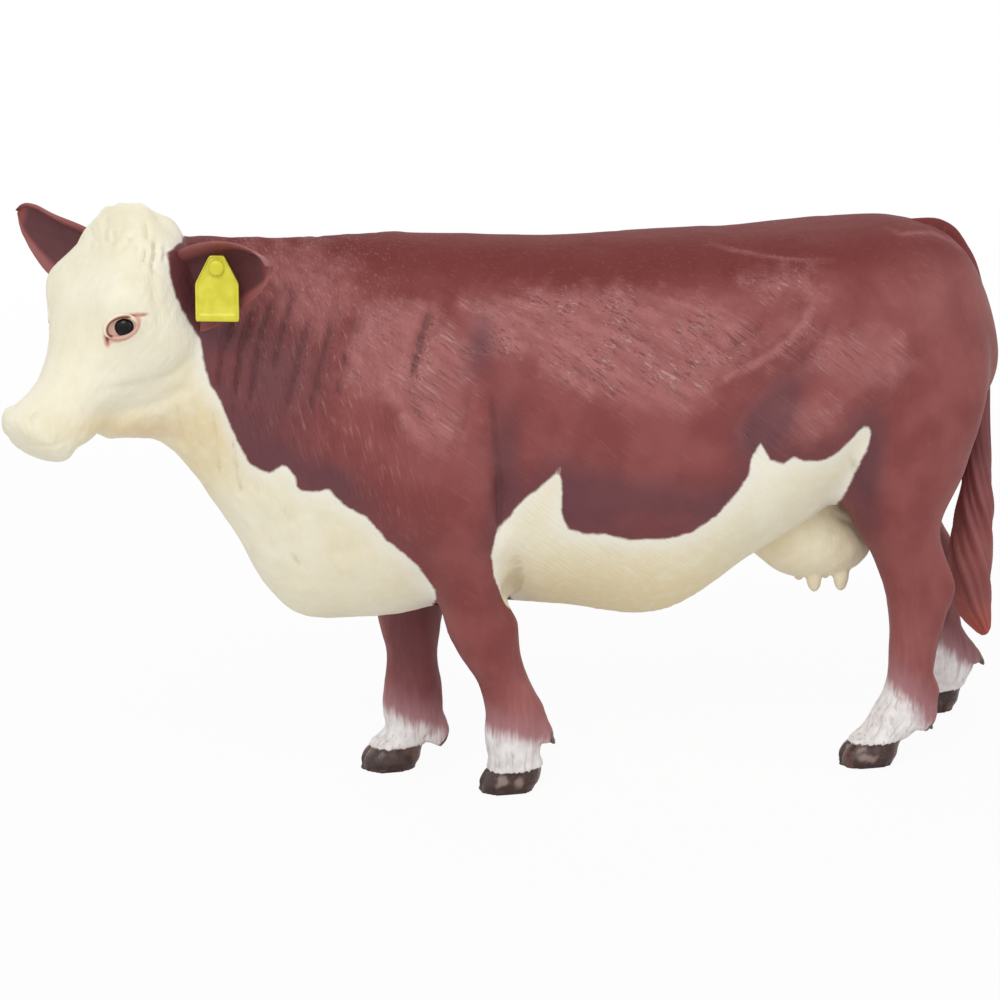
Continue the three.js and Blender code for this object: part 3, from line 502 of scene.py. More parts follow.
def leg_fill(points, name, spare):
    """How far points lie from a leg's middle, as a share of its own oval widened by spare
    millimetres: 1 on that oval."""
    ups, _, longs, wides = leg_rows(name)
    up = points[:, 2] / LEGS[name][0]["reach"]
    offset = points[:, :2] - leg_middle(name, points[:, 2])[:, :2]
    return np.hypot(offset[:, 0] / (read_row(ups, longs, up) + spare),
                    offset[:, 1] / (read_row(ups, wides, up) + spare))


trunk_share = smoothstep(-ahead_of_seam(skin), -2, 10) * smoothstep(skin[:, 2], 20, 30)
TRUNK_ROUNDS, FINE_ROUNDS, HOLLOW_ROUNDS = 42, 8, 6
wide = rounded(skin, edges, TRUNK_ROUNDS)
fine = rounded(skin, edges, FINE_ROUNDS)
skin = fine + (wide - fine) * trunk_share[:, None]
print("smoothed; trunk vertices", int((trunk_share > 0.5).sum()))

# %% A finer mesh on the head and the feet
def refined(points, quads, wanted):
    """The quads that are wanted cut in four, with the rest kept: bmesh splits their edges
    and fills the grid. The faces beside them become triangles, whose rows repeat their last
    corner, so that every face is still a row of four."""
    mesh = new_mesh("refine", points, quads.tolist())
    shape = bmesh.new()
    shape.from_mesh(mesh)
    shape.faces.ensure_lookup_table()
    chosen = {edge for index in np.flatnonzero(wanted) for edge in shape.faces[index].edges}
    bmesh.ops.subdivide_edges(shape, edges=list(chosen), cuts=1, use_grid_fill=True)
    odd = [face for face in shape.faces if len(face.verts) != 4]
    bmesh.ops.triangulate(shape, faces=odd)
    shape.to_mesh(mesh)
    shape.free()
    points = read_back(mesh.vertices, "co", 3)
    starts = read_back(mesh.polygons, "loop_start", kind=int)
    sizes = read_back(mesh.polygons, "loop_total", kind=int)
    corners = read_back(mesh.loops, "vertex_index", kind=int)
    bpy.data.meshes.remove(mesh)
    last = starts + np.where(sizes == 4, 3, 2)
    return points.reshape(-1, 3), corners[np.stack([starts, starts + 1, starts + 2, last], -1)]


middle = skin[quads].mean(1)
wanted = (ahead_of_seam(middle) > -3.0) | (middle[:, 2] < 14.0)
skin, quads = refined(skin, quads, wanted)
edges = edges_of(quads)
edges = edges[edges[:, 0] != edges[:, 1]]
skin = skin + (relaxed(skin, edges, 2) - skin) * smoothstep(skin[:, 2], 0.6, 1.6)[:, None]
level = skin[:, 2]
print("refined:", len(skin), "vertices,", len(quads), "faces")

# %% [markdown]
# ## Where the picture falls on both sides
# The photograph shows the left side only. The right side gets the same paint and the same
# folds: a point on it is first mirrored across the animal's middle, which swings with the
# neck and turns with the head, and then projected like the others.

# %% Mirroring to the near side, and distances to a line
PIXEL_MM = 0.13
STROKE_FADE = 0.25


def near_side(points):
    """Points with those of the far side mirrored to the near one: across the trunk's middle
    plane, across the head's own plane ahead of the neck seam, and blended in between."""
    place = (points[:, 0] - PART_OFFSET[0]) / TRUNK_LENGTH
    middle = PART_OFFSET[1] - NECK_SWING * read_row(TRUNK["along"], TRUNK["swing"], place)
    off = points[:, 1] - middle
    body = points.copy()
    body[:, 1] = middle - np.abs(off)
    side = (points - poll) @ head_right
    head = points - (side + np.abs(side))[:, None] * head_right
    share = smoothstep(ahead_of_seam(points), -3, 6)[:, None]
    return body + (head - body) * share


def from_line(places, line):
    """Each place's distance in pixels to a line of points, and the share of the line's
    length at which it comes nearest."""
    line = np.asarray(line, float)
    start, step = line[:-1], np.diff(line, axis=0)
    length = np.linalg.norm(step, axis=1)
    ran = np.concatenate([[0], np.cumsum(length)])
    best, share = np.full(len(places), 1e9), np.zeros(len(places))
    for index in range(len(step)):
        local = places - start[index]
        part = np.clip(local @ step[index] / length[index] ** 2, 0, 1)
        away = np.linalg.norm(local - part[:, None] * step[index], axis=1)
        nearer = away < best
        best = np.where(nearer, away, best)
        share = np.where(nearer, (ran[index] + part * length[index]) / ran[-1], share)
    return best, share

# %% Strokes, patches and outlines on the picture
def stroke(places, line, width):
    """A soft ridge along a line: exp(-(distance / width) squared), fading at both ends."""
    away, share = from_line(places, line)
    ends = smoothstep(share, 0, STROKE_FADE) * smoothstep(1 - share, 0, STROKE_FADE)
    return bell(away, width) * (0.25 + 0.75 * ends)


def patch(places, centre, radii, turn_deg=0.0):
    """A soft oval: exp(-(x / a) squared - (y / b) squared), turned on the picture."""
    turn = math.radians(turn_deg)
    local = places - np.asarray(centre, float)
    x = local[:, 0] * math.cos(turn) + local[:, 1] * math.sin(turn)
    y = -local[:, 0] * math.sin(turn) + local[:, 1] * math.cos(turn)
    return np.exp(-((x / radii[0]) ** 2) - (y / radii[1]) ** 2)


def inside(places, outline):
    """Signed distance in pixels to a closed outline, positive inside it. A place is inside
    if a level line from it crosses the outline an odd number of times."""
    loop = np.asarray(outline + outline[:1], float)
    away, _ = from_line(places, loop)
    odd = np.zeros(len(places), bool)
    for (ax, ay), (bx, by) in zip(loop[:-1], loop[1:]):
        between = (places[:, 1] > min(ay, by)) & (places[:, 1] <= max(ay, by))
        if by != ay:
            cross = ax + (places[:, 1] - ay) * (bx - ax) / (by - ay)
            odd ^= between & (places[:, 0] < cross)
    return np.where(odd, away, -away)

# %% Noise, and noise drawn out as hair
def noise(points, seed):
    """Smooth noise from -1 to 1: each corner of a unit lattice gets a hashed number, and a
    point blends the eight round it with 3t2 - 2t3."""
    base = np.floor(points).astype(np.int64)
    part = points - base
    part = part * part * (3 - 2 * part)
    total = np.zeros(len(points))
    for corner in range(8):
        step = np.array([corner & 1, corner >> 1 & 1, corner >> 2 & 1])
        x, y, z = (base + step).T
        mixed = (x * 73856093) ^ (y * 19349663) ^ (z * 83492791) ^ (seed * 2654435761)
        mixed = (mixed ^ (mixed >> 13)) * 1274126177 & 0xFFFFFFFF
        mixed = (mixed ^ (mixed >> 16)) & 0xFFFF
        weight = np.prod(np.where(step, part, 1 - part), axis=1)
        total += weight * (mixed / 32767.5 - 1)
    return total


def hair(points, lay, across, along, seed):
    """Noise drawn out along a lay direction: its lattice is across wide and along long."""
    lay = unit(np.asarray(lay, float))
    side = unit(np.cross(lay, [0.31, 0.2, 0.93]))
    third = np.cross(lay, side)
    return noise(np.stack([points @ lay / along, points @ side / across,
                           points @ third / across], -1), seed)


places = photo_place(near_side(skin))
print("places on the picture from", places.min(0).round(1), "to", places.max(0).round(1))

# %% [markdown]
# ## Carving the trunk
# The sculptor pressed the folds of the neck, the shoulder, the elbow and the hip into the
# model and combed short hair strokes into the skin between them. Each fold is a line on
# the picture, so its depth at a vertex depends only on the vertex's distance to that line,
# and the whole skin is carved in a few array sums. A painted bump alone would leave the
# outline and the highlights flat, so the larger strokes are real relief.

# %% Folds, muscles and combed strokes
FOLDS = [
    # line on the picture, half width in pixels, depth in millimetres
    ([(236, 300), (229, 322), (224, 350), (219, 400)], 4.6, 0.55),
    ([(258, 296), (250, 318), (241, 350), (234, 410)], 4.6, 0.62),
    ([(276, 290), (268, 310), (259, 342), (249, 412)], 5.0, 0.58),
    ([(296, 286), (290, 304), (281, 334), (271, 380)], 5.0, 0.48),
    ([(312, 310), (303, 340), (296, 372), (283, 425)], 6.0, 0.48),
    ([(336, 300), (329, 330), (321, 362), (308, 425)], 7.0, 0.38),
    ([(358, 300), (350, 332), (344, 362), (334, 410)], 7.0, 0.28),
    ([(234, 262), (262, 282), (304, 292)], 6.0, 0.25),
    ([(434, 300), (420, 342), (409, 388)], 6.5, 0.50),
    ([(405, 380), (424, 430), (446, 466)], 6.0, 0.22),
    ([(474, 378), (464, 425), (448, 466)], 7.0, 0.28),
    ([(488, 372), (494, 420), (500, 480), (500, 540)], 9.0, 0.62),
    ([(500, 470), (503, 505), (500, 540)], 4.0, 0.45),
    ([(707, 241), (753, 252), (800, 258), (836, 265)], 4.0, 0.35),
    ([(834, 300), (824, 334), (798, 366), (758, 394)], 9.0, 0.40),
    ([(770, 316), (752, 336), (722, 356)], 9.0, 0.35),
    ([(908, 219), (920, 226), (935, 232)], 3.0, 0.30),
    ([(899, 237), (930, 235), (955, 243), (972, 256)], 3.0, 0.30),
    ([(848, 446), (862, 490), (874, 548)], 8.0, 0.45),
    ([(548, 318), (600, 345), (668, 388)], 8.0, 0.20),
    ([(505, 322), (560, 356), (622, 404)], 8.0, 0.22),
    ([(590, 306), (650, 338), (706, 376)], 8.0, 0.20),
    ([(650, 300), (690, 320), (735, 350)], 8.0, 0.18),
    ([(640, 520), (700, 512), (740, 486)], 7.0, 0.18),
    ([(470, 330), (500, 352), (540, 392)], 8.0, 0.20),
]
RIDGES = [
    # line on the picture, half width in pixels, height in millimetres
    ([(806, 282), (815, 300), (802, 328), (774, 354), (738, 374), (706, 390)], 5.5, 0.55),
    ([(478, 300), (520, 335), (540, 380)], 16.0, 0.25),
    ([(447, 300), (436, 345), (424, 395)], 10.0, 0.32),
    ([(372, 372), (402, 418), (440, 458)], 8.0, 0.28),
    ([(247, 305), (239, 330), (229, 402)], 5.0, 0.22),
    ([(267, 300), (259, 325), (244, 408)], 5.0, 0.22),
    ([(286, 296), (279, 325), (264, 396)], 5.0, 0.22),
    ([(324, 320), (315, 350), (297, 418)], 6.0, 0.24),
    ([(347, 310), (338, 345), (324, 410)], 6.0, 0.20),
    ([(770, 268), (800, 276), (815, 300)], 9.0, 0.25),
    ([(708, 243), (740, 251), (780, 258), (832, 263)], 3.2, 0.26),
    ([(886, 227), (900, 235), (930, 233), (952, 241), (972, 256)], 3.0, 0.18),
]
MASSES = [
    # centre, radii in pixels, turn, height in millimetres
    ((395, 362), (70, 90), 12, 0.6),
    ((452, 505), (38, 60), -10, 0.5),
    ((880, 345), (62, 75), 0, 0.5),
    ((745, 335), (48, 32), 25, -0.8),
    ((828, 262), (42, 18), 12, 0.4),
    ((600, 360), (100, 60), 10, 0.3),
    ((925, 300), (30, 60), 0, 0.2),
    ((935, 430), (30, 70), 0, 0.3),
    ((482, 338), (22, 56), 12, -0.35),
    ((512, 590), (18, 24), 0, -0.9),
    ((520, 455), (22, 60), 0, -0.4),
]

print("set out:", len(FOLDS), "folds,", len(RIDGES), "ridges,", len(MASSES), "masses")

# %% Pressing the folds in and raising the muscles
normals = normals_of(skin, quads)
head_share = smoothstep(ahead_of_seam(skin), -1.0, 3.0)
low_share = 1 - smoothstep(level, 20, 30)
sideways = smoothstep(np.abs(normals[:, 1]), 0.15, 0.5)
trunk_only = (1 - head_share) * (1 - low_share) * sideways

depth = np.zeros(len(skin))
for line, width, deep in FOLDS:
    depth -= deep * stroke(places, line, width)
for line, width, high in RIDGES:
    depth += high * stroke(places, line, width)
for centre, radii, turn, high in MASSES:
    depth += high * patch(places, centre, radii, turn)
depth *= trunk_only

print("folds and muscles from", depth.min().round(2), "to", depth.max().round(2), "mm")

# %% Combing the hair, and the paler patches: dry-brushing and painted highlights
neck_share = smoothstep(-skin[:, 0], 10, 28)
rump_share = smoothstep(skin[:, 0], 34, 50)
HAIR_WIDTH = 0.9
hair_strokes = (
    hair(skin, (0.80, 0.0, -0.60), HAIR_WIDTH, 4.5, 11) * (1 - neck_share) * (1 - rump_share)
    + hair(skin, (0.45, 0.0, -0.90), HAIR_WIDTH, 4.0, 12) * neck_share
    + hair(skin, (0.35, 0.0, -0.94), HAIR_WIDTH, 4.0, 13) * rump_share)
LIT_SHAPES = [
    # strength, then the outline on the picture of a paler patch: dry-brushing and painted
    # highlight
    (0.85, [(366, 312), (400, 304), (434, 304), (422, 342), (409, 384), (398, 398),
            (362, 392), (340, 384), (350, 350)]),
    (0.85, [(436, 338), (452, 330), (474, 366), (462, 410), (456, 440), (442, 458),
            (410, 430), (380, 398), (394, 378), (416, 362)]),
    (0.95, [(462, 306), (490, 296), (560, 288), (640, 292), (705, 300), (752, 318),
            (752, 345), (722, 372), (705, 398), (684, 410), (628, 400), (572, 392),
            (548, 372), (530, 350), (500, 356), (474, 338)]),
    (0.65, [(742, 282), (768, 270), (806, 272), (818, 284), (800, 304), (764, 304)]),
    (0.75, [(826, 334), (860, 324), (898, 336), (912, 366), (890, 388), (846, 390),
            (812, 372)]),
    (0.8, [(742, 434), (790, 402), (842, 398), (836, 420), (800, 442), (756, 452)]),
    (0.65, [(252, 250), (300, 244), (350, 262), (352, 300), (324, 330), (300, 318),
            (270, 290)]),
    (0.8, [(810, 284), (820, 298), (808, 326), (782, 354), (742, 378), (738, 370),
           (772, 348), (798, 322), (808, 300)]),
]
LIT_PATCHES = [
    # strength, centre and radii on the picture of a painted highlight
    (0.7, (524, 704), (24, 36)), (0.5, (908, 650), (26, 52)), (0.3, (920, 290), (34, 46)),
]
HOOF_GLINTS = [
    # centre and radii on the picture of a painted glint on a hoof
    ((501, 782), (8, 9)), ((521, 783), (8, 10)), ((381, 762), (7, 6)),
    ((403, 762), (7, 6)), ((868, 759), (15, 6)), ((942, 708), (8, 4)),
]


def dry_brush_and_painted_highlight(at):
    """How much paler paint a place on the picture gets, dry-brushing and painted highlight
    together: each shape's signed distance, ruffled by noise, ramps from 0 to its strength
    across its edge."""
    flat = np.zeros((len(at), 1))
    ruffle = 8.0 * noise(np.append(at / 14.0, flat, 1), 22) \
        + 4.0 * noise(np.append(at / 5.0, flat, 1), 23)
    return np.clip(sum(strength * smoothstep(inside(at, shape) + ruffle, -15.0, 14.0)
                       for strength, shape in LIT_SHAPES), 0, 1)


lit = dry_brush_and_painted_highlight(places)
for strength, centre, radii in LIT_PATCHES:
    lit += strength * patch(places, centre, radii)
# a painted highlight along the two ridges of the hip
for line, width, _ in RIDGES[-2:]:
    lit += 0.55 * stroke(places, line, width * 0.8)
lit = np.clip(lit, 0, 1) * (1 - head_share)
speckle = 0.35 * noise(skin / 0.6, 44)
for centre, radii in HOOF_GLINTS:
    glint = smoothstep(patch(places, centre, radii) + speckle, 0.40, 0.95)
    lit = np.maximum(lit, glint * (level < 5))
combed = (0.03 + 0.13 * lit + 0.10 * neck_share) * (1 - head_share) \
    * smoothstep(level, 24, 34)
depth += combed * hair_strokes
depth += 0.10 * noise(skin / 3.2, 21) * (1 - head_share) * (1 - low_share)
print("trunk carved by", depth.min().round(2), "to", depth.max().round(2), "mm")

# %% [markdown]
# ## Carving the head
# The head is modelled in its own frame: down the face, out of the brow, and to the side. The
# features are set out there, so the two sides match, and the hair of the poll is combed in
# swept locks that fall from its crown.

# %% Eyes, brow, cheek and muzzle
local = (skin - poll) @ head_axes.T
down, out, side = local[:, 0], local[:, 1], np.abs(local[:, 2])
EYE = (14.60, -3.07)
EYE_LONG, EYE_HIGH = np.array([-0.9986, -0.0523]), np.array([-0.0523, 0.9986])
EYE_RADII = (1.46, 1.08)
from_eye = np.stack([down - EYE[0], out - EYE[1]], -1)
eye_long, eye_high = from_eye @ EYE_LONG, from_eye @ EYE_HIGH
eye_round = np.hypot(eye_long / EYE_RADII[0], eye_high / EYE_RADII[1])
on_side = smoothstep(side, 4.0, 6.0)


def spot(centre, radii):
    """A soft ball in the head's frame, on both sides: exp of minus the squared distance in
    radii from a centre given as (down, out, side)."""
    return np.exp(-sum(((value - middle) / radius) ** 2 for value, middle, radius
                       in zip((down, out, side), centre, radii)))


face = np.zeros(len(skin))
face -= 0.50 * np.exp(-(eye_round / 1.05) ** 6) * on_side
lower_lid = smoothstep(-eye_high, -0.5, 0.5)
face += 0.10 * bell(eye_round - 1.6, 0.25) * on_side * lower_lid
eye_plane = np.stack([eye_long, eye_high], -1)
LID_LINES = [[(-2.7, -0.93), (-2.2, -0.33), (-1.55, 0.4)],
             [(0.45, 1.25), (1.25, 0.75), (2.15, 0.0), (3.15, -1.35)]]
lid_lines = sum(stroke(eye_plane, line, 0.20) for line in LID_LINES)
face -= 0.22 * lid_lines * on_side
face += 0.26 * np.exp(-((eye_high - 2.3) / 0.7) ** 2 - ((eye_long - 0.3) / 2.4) ** 2) * on_side
FACE_MASSES = [
    # height in millimetres; centre and radii as (down, out, side)
    (0.55, (10.8, -1.4, 6.6), (2.2, 2.4, 2.6)),
    (0.25, (12.5, -0.4, 3.6), (2.6, 2.0, 2.2)),
    (-0.40, (18.5, -5.6, 6.4), (3.2, 2.2, 3.0)),
    (0.35, (16.0, -11.0, 8.0), (4.0, 3.6, 3.0)),
    (-0.35, (22.5, -9.5, 5.6), (3.2, 3.4, 2.6)),
    (-0.30, (29.5, -3.0, 0.0), (4.0, 4.0, 4.5)),
    (-0.35, (32.5, -6.5, 0.0), (2.6, 6.0, 6.0)),
    (-0.45, (31.0, -11.5, 0.0), (3.0, 2.4, 5.0)),
    (0.22, (30.2, -8.4, 3.6), (2.0, 1.2, 2.2)),
]
for high, centre, radii in FACE_MASSES:
    face += high * spot(centre, radii)
face *= head_share
chin_and_poll = sum(deep * patch(places, *oval) for deep, oval in (
    (0.95, ((124, 447), (24, 9))), (0.55, ((86, 454), (16, 8))),
    (1.6, ((170, 210), (19, 14), 40))))
face -= chin_and_poll * head_share
nostril_rim = np.hypot((places[:, 0] - 40) / 7.5, (places[:, 1] - 419) / 6.0)
face += 0.34 * np.exp(-nostril_rim ** 2) * head_share
NOSTRIL = [(38, 408), (32, 412), (29, 421), (32, 429)]
MOUTH = [(20, 447), (34, 449), (52, 447), (72, 440)]
face -= 0.22 * stroke(places, NOSTRIL, 2.6) * head_share
face -= 0.14 * stroke(places, MOUTH, 2.2) * head_share
print("features from", face.min().round(2), "to", face.max().round(2), "mm")

# %% The folds of the cheek and throat
HEAD_FOLDS = [
    # line on the picture, half width in pixels, depth in millimetres
    ([(88, 418), (124, 414), (158, 404), (186, 388), (199, 362)], 7.0, 0.42),
    ([(100, 392), (126, 388), (152, 380), (176, 372), (194, 356)], 4.5, 0.20),
    ([(160, 414), (164, 428), (168, 446)], 5.0, 0.28),
    ([(176, 402), (180, 422), (186, 452)], 4.5, 0.34),
    ([(194, 398), (197, 425), (202, 462)], 4.5, 0.30),
    ([(212, 400), (217, 440), (220, 486)], 5.0, 0.40),
    ([(232, 430), (236, 465), (242, 505)], 5.5, 0.34),
    ([(254, 476), (258, 510), (266, 548)], 6.5, 0.26),
    ([(284, 500), (292, 540), (302, 580)], 7.0, 0.22),
    ([(318, 505), (330, 545), (344, 590)], 7.0, 0.18),
    ([(76, 262), (68, 292), (64, 330)], 6.0, 0.22),
    ([(84, 345), (76, 366), (62, 392)], 5.0, 0.20),
    ([(150, 268), (156, 300), (162, 330)], 5.0, 0.15),
]
cream_zone = np.clip(head_share + smoothstep(places[:, 1], 380, 420)
                     * smoothstep(-skin[:, 0], 12, 20), 0, 1) * smoothstep(level, 24, 30)
for line, width, deep in HEAD_FOLDS:
    face -= deep * stroke(places, line, width) * cream_zone * smoothstep(
        np.abs(normals @ head_right), 0.1, 0.45)
print(len(HEAD_FOLDS), "folds on the head and throat")

# %% The combed poll
seen_places = photo_place(skin)
towards_camera = AIM + CAMERA_DISTANCE * view_back - skin
facing_share = smoothstep(np.einsum("ij,ij->i", normals, towards_camera)
                          / np.linalg.norm(towards_camera, axis=1), 0.0, 0.25)
LOCKS = [
    # the gap between two locks on the picture, half width in pixels, depth in millimetres
    ([(106, 214), (104, 228), (105, 238), (108, 246)], 3.0, 0.60),
    ([(112, 228), (113, 239), (110, 247)], 2.4, 0.42),
    ([(131, 234), (128, 243), (119, 250)], 2.6, 0.42),
    ([(145, 220), (147, 234), (147, 242)], 2.6, 0.42),
    ([(138, 244), (138, 254), (135, 262)], 2.4, 0.36),
    ([(146, 246), (145, 256), (142, 264)], 2.6, 0.50),
    ([(155, 238), (156, 252), (153, 264)], 3.2, 0.80),
    ([(152, 262), (154, 271), (160, 273)], 2.4, 0.40),
    ([(163, 244), (166, 252), (163, 262)], 2.6, 0.45),
    ([(91, 226), (92, 240), (88, 250)], 2.8, 0.45),
    ([(97, 222), (98, 236), (97, 248)], 2.2, 0.30),
    ([(122, 218), (121, 232)], 2.4, 0.20),
]
crown_share = (1 - smoothstep(down + 0.12 * side, 6.0, 9.5)) * smoothstep(out, -11, -6) \
    * head_share
for line, width, deep in LOCKS:
    gap = stroke(seen_places, line, width * 1.2)
    beside = stroke(seen_places, [(x - 5, y) for x, y in line], width * 1.5)
    face += (0.36 * deep * beside - 0.75 * deep * gap) * facing_share * head_share
curl = down + 0.25 * side + 0.9 * np.sin(side * 0.8 + down * 0.3)
part_line = side + 0.42 * down + 0.7 * np.sin(down * 0.7)
locks = (noise(np.stack([curl / 4.6, out / 2.4, part_line / 1.5], -1), 31)
         + 0.6 * noise(np.stack([curl / 3.4, out / 1.4, part_line / 0.8], -1), 32))
face += crown_share * (0.05 + 0.24 * (1 - facing_share)) * signed_power(locks, 0.8)
face += 0.05 * head_share * (1 - crown_share) * hair(skin, face_down, 0.5, 2.6, 33) \
    * smoothstep(eye_round, 1.8, 3.0)
depth += face
print("face carved by", face.min().round(2), "to", face.max().round(2), "mm")

# %% [markdown]
# ## Carving the feet
# Each foot ends in a cloven hoof of two claws, with a fringe of hair that overlaps its top
# edge and long combed hair above. The hoof is drawn in below a slanted coronet, split from
# the front, and its sole stays flat on the ground.

# %% Hooves, coronets, clefts and fringes
FEET = {
    # top of the hoof, top and slant of the white, height of the dewclaws, swell over them
    "left_foreleg": (3.1, 7.3, 0.3, 6.9, 1.2),
    "right_foreleg": (3.2, 6.0, 0.45, 4.2, 2.0),
    "left_hindleg": (3.3, 7.6, 0.8, 5.1, 1.2),
    "right_hindleg": (3.2, 8.4, 0.8, 7.0, 1.2),
}
FAR_OFF = -9.0
SHIN_MM = 22
nearest = np.stack([leg_reach(skin, name) for name in LEGS]).argmin(0)
hoof, white = np.full((2, len(skin)), FAR_OFF)
feet = np.zeros(len(skin))
for index, (name, sizes) in enumerate(FEET.items()):
    hoof_top, white_top, white_slant, claw_high, claw_swell = sizes
    mine = (nearest == index) & (level < SHIN_MM)
    ahead = -(skin[:, 0] - leg_middle(name, level)[:, 0])
    over = skin[:, 1] - leg_middle(name, level)[:, 1]
    fringe = 0.13 * noise(np.stack([np.arctan2(over, ahead) * 11, level * 0.3,
                                    np.full(len(skin), index * 7.0)], -1), 41)
    top = hoof_top - 0.06 * ahead + fringe
    hoof = np.where(mine, top - level, hoof)
    white = np.where(mine, white_top + white_slant * ahead - level, white)
    in_hoof = smoothstep(top - level, -0.05, 0.25) * smoothstep(level, 0.0, 0.5)
    cut = -0.16 * in_hoof
    toe = smoothstep(ahead, 1.5, 4.0)
    cut += 0.30 * bell(level - 2.0, 1.2) * toe * smoothstep(top - level, -0.05, 0.6)
    split = bell(over, 0.34) * smoothstep(ahead, 0.2, 2.2)
    cut -= 0.85 * split * smoothstep(top + 0.6 - level, 0, 1.0)
    dimple = bell(over, 0.7) * smoothstep(ahead, 0.5, 2.0)
    cut -= 0.35 * dimple * bell(level - 4.6, 1.2)
    angle = np.arctan2(over, ahead)
    tufts = noise(np.stack([angle * 9.5, level / 4.0 + np.sin(angle * 3),
                            np.full(len(skin), index * 5.0)], -1), 42)
    combed_foot = smoothstep(-(top - level), 0.1, 0.5) * (1 - smoothstep(level, 9, 13))
    cut += 0.15 * tufts * combed_foot
    cut += 0.12 * bell(level - top - 0.3, 0.4) * smoothstep(level - top, -0.05, 0.1)
    ramp = smoothstep(claw_high + 3.6 - level, 0, 3.4) \
        * smoothstep(level, claw_high - 0.55, claw_high - 0.05)
    for lobe in (-1, 1):
        flap = ramp * bell(over - 1.35 * lobe, 0.95) * smoothstep(-ahead, 1.2, 2.6)
        cut += claw_swell * flap
        hoof = np.where(mine, np.maximum(hoof, (flap - 0.80) * 3.0), hoof)
    feet = np.where(mine, cut, feet)
print("hooves on", len(FEET), "feet")

# %% Hair, hocks and waists of the legs
upper_leg = low_share * smoothstep(level, 8, 12)
feet += 0.09 * upper_leg * hair(skin, (0.15, 0.05, -0.98), 0.7, 4.0, 43)
HOCKS = {
    # place behind the leg's middle and over the floor, size, height: all in millimetres
    "left_hindleg": [((4.0, 26.0), 1.5, 0.5), ((1.2, 24.0), 1.4, -0.35)],
    "right_hindleg": [((4.0, 26.0), 1.5, 0.4), ((1.2, 24.0), 1.4, -0.3)],
}
for name, spots in HOCKS.items():
    index = list(LEGS).index(name)
    back = skin[:, 0] - leg_middle(name, level)[:, 0]
    for (behind, over_floor), size, high in spots:
        feet += np.where(nearest == index, high * np.exp(
            -((back - behind) / size) ** 2 - ((level - over_floor) / (3 * size)) ** 2), 0)
rear = np.maximum(normals[:, 0], 0.0)
fore_waist = smoothstep(level, 22.5, 27.5) * (1 - smoothstep(level, 31, 36))
hock_waist = smoothstep(level, 9.0, 12.5) * (1 - smoothstep(level, 28, 40))
for index, (waist, slim) in enumerate(((fore_waist, 2.0), (fore_waist, 1.2),
                                       (hock_waist, 1.8), (hock_waist, 1.0))):
    near_leg = 1 - smoothstep(leg_fill(skin, list(LEGS)[index], 1.0), 1.0, 1.5)
    feet -= slim * rear * waist * near_leg * (nearest == index)
depth += feet
depth *= smoothstep(level, 0.02, 0.5)
print("feet carved by", feet.min().round(2), "to", feet.max().round(2), "mm")

# %% Moving each vertex along its normal
SOLE_TUCK, SOLE_FLAT_MM, TOP_FLAT_MM = 0.11, 0.12, 80.4
carved = skin + normals * depth[:, None]
for index, name in enumerate(LEGS):
    tuck = (SOLE_TUCK * (1 - smoothstep(level, 0.0, 1.4)) * (nearest == index))[:, None]
    carved[:, :2] += tuck * (leg_middle(name, 0.0)[:2] - carved[:, :2])
carved[:, 2] = np.where(carved[:, 2] < SOLE_FLAT_MM, 0.0, carved[:, 2])
carved[:, 2] = np.minimum(carved[:, 2], TOP_FLAT_MM)
carved_normals = normals_of(carved, quads)
hollow = np.einsum("ij,ij->i", relaxed(carved, edges, HOLLOW_ROUNDS) - carved,
                   carved_normals)
print("carved skin from", carved.min(0).round(2), "to", carved.max(0).round(2),
      "hollow", hollow.min().round(3), hollow.max().round(3))

# %% [markdown]
# ## Where the paint goes
# The red coat was sprayed through a mask, so it has one firm edge with a slightly ragged
# line. Its outline is drawn on the picture, and each vertex keeps its signed distance to
# it in millimetres. A distance, unlike a mask of zeros and ones, stays sharp between
# vertices, and the material can ruffle or feather it.

# %% The coat's outline
COAT = [
    (168, 252), (169, 268), (172, 286), (180, 306), (190, 324), (200, 340), (203, 360),
    (210, 384), (220, 400), (228, 420), (236, 438), (243, 452), (249, 464), (260, 470),
    (271, 473), (284, 464), (290, 470), (295, 477), (297, 486), (301, 491), (314, 492),
    (328, 489), (344, 505), (356, 512), (367, 518), (386, 540), (402, 552), (418, 566),
    (436, 590), (436, 599), (433, 606), (440, 640), (524, 640), (519, 612), (512, 600),
    (503, 590), (496, 578), (492, 556), (497, 534), (508, 520), (520, 504), (530, 495),
    (540, 488), (556, 473), (559, 466), (562, 488), (561, 511), (568, 529), (584, 534),
    (604, 534), (630, 540), (668, 539), (693, 532), (719, 514), (737, 493), (749, 475),
    (752, 458), (760, 443), (766, 452), (770, 460), (783, 464), (794, 456), (804, 461),
    (826, 460), (845, 447), (857, 432), (866, 424), (871, 432), (867, 449), (857, 471),
    (845, 493), (833, 510), (842, 522), (852, 536), (864, 552), (872, 620), (868, 720),
    (1020, 720), (1020, 180), (192, 180), (188, 228), (181, 242),
]
coat = inside(places, COAT) * PIXEL_MM
for index, name in enumerate(LEGS):
    seam = LEGS[name][0]["seam"]
    share = leg_fill(skin, name, 0.35)
    behind_elbow = smoothstep(places[:, 0], 503, 509) * (places[:, 0] < 600)
    top = seam + 1.0 - 1.2 * behind_elbow
    rule = np.minimum((1 - share) * 5 + 0.4, top - level)
    coat = np.where((nearest == index) & (level < top), np.maximum(coat, rule), coat)
ALL_RED_MM = 20
coat = np.where(level < ALL_RED_MM, 5.0, coat)
coat = np.where(ahead_of_seam(skin) > 12, np.minimum(coat, -2.0), coat)
print("coat: share of vertices", (coat > 0).mean().round(3))
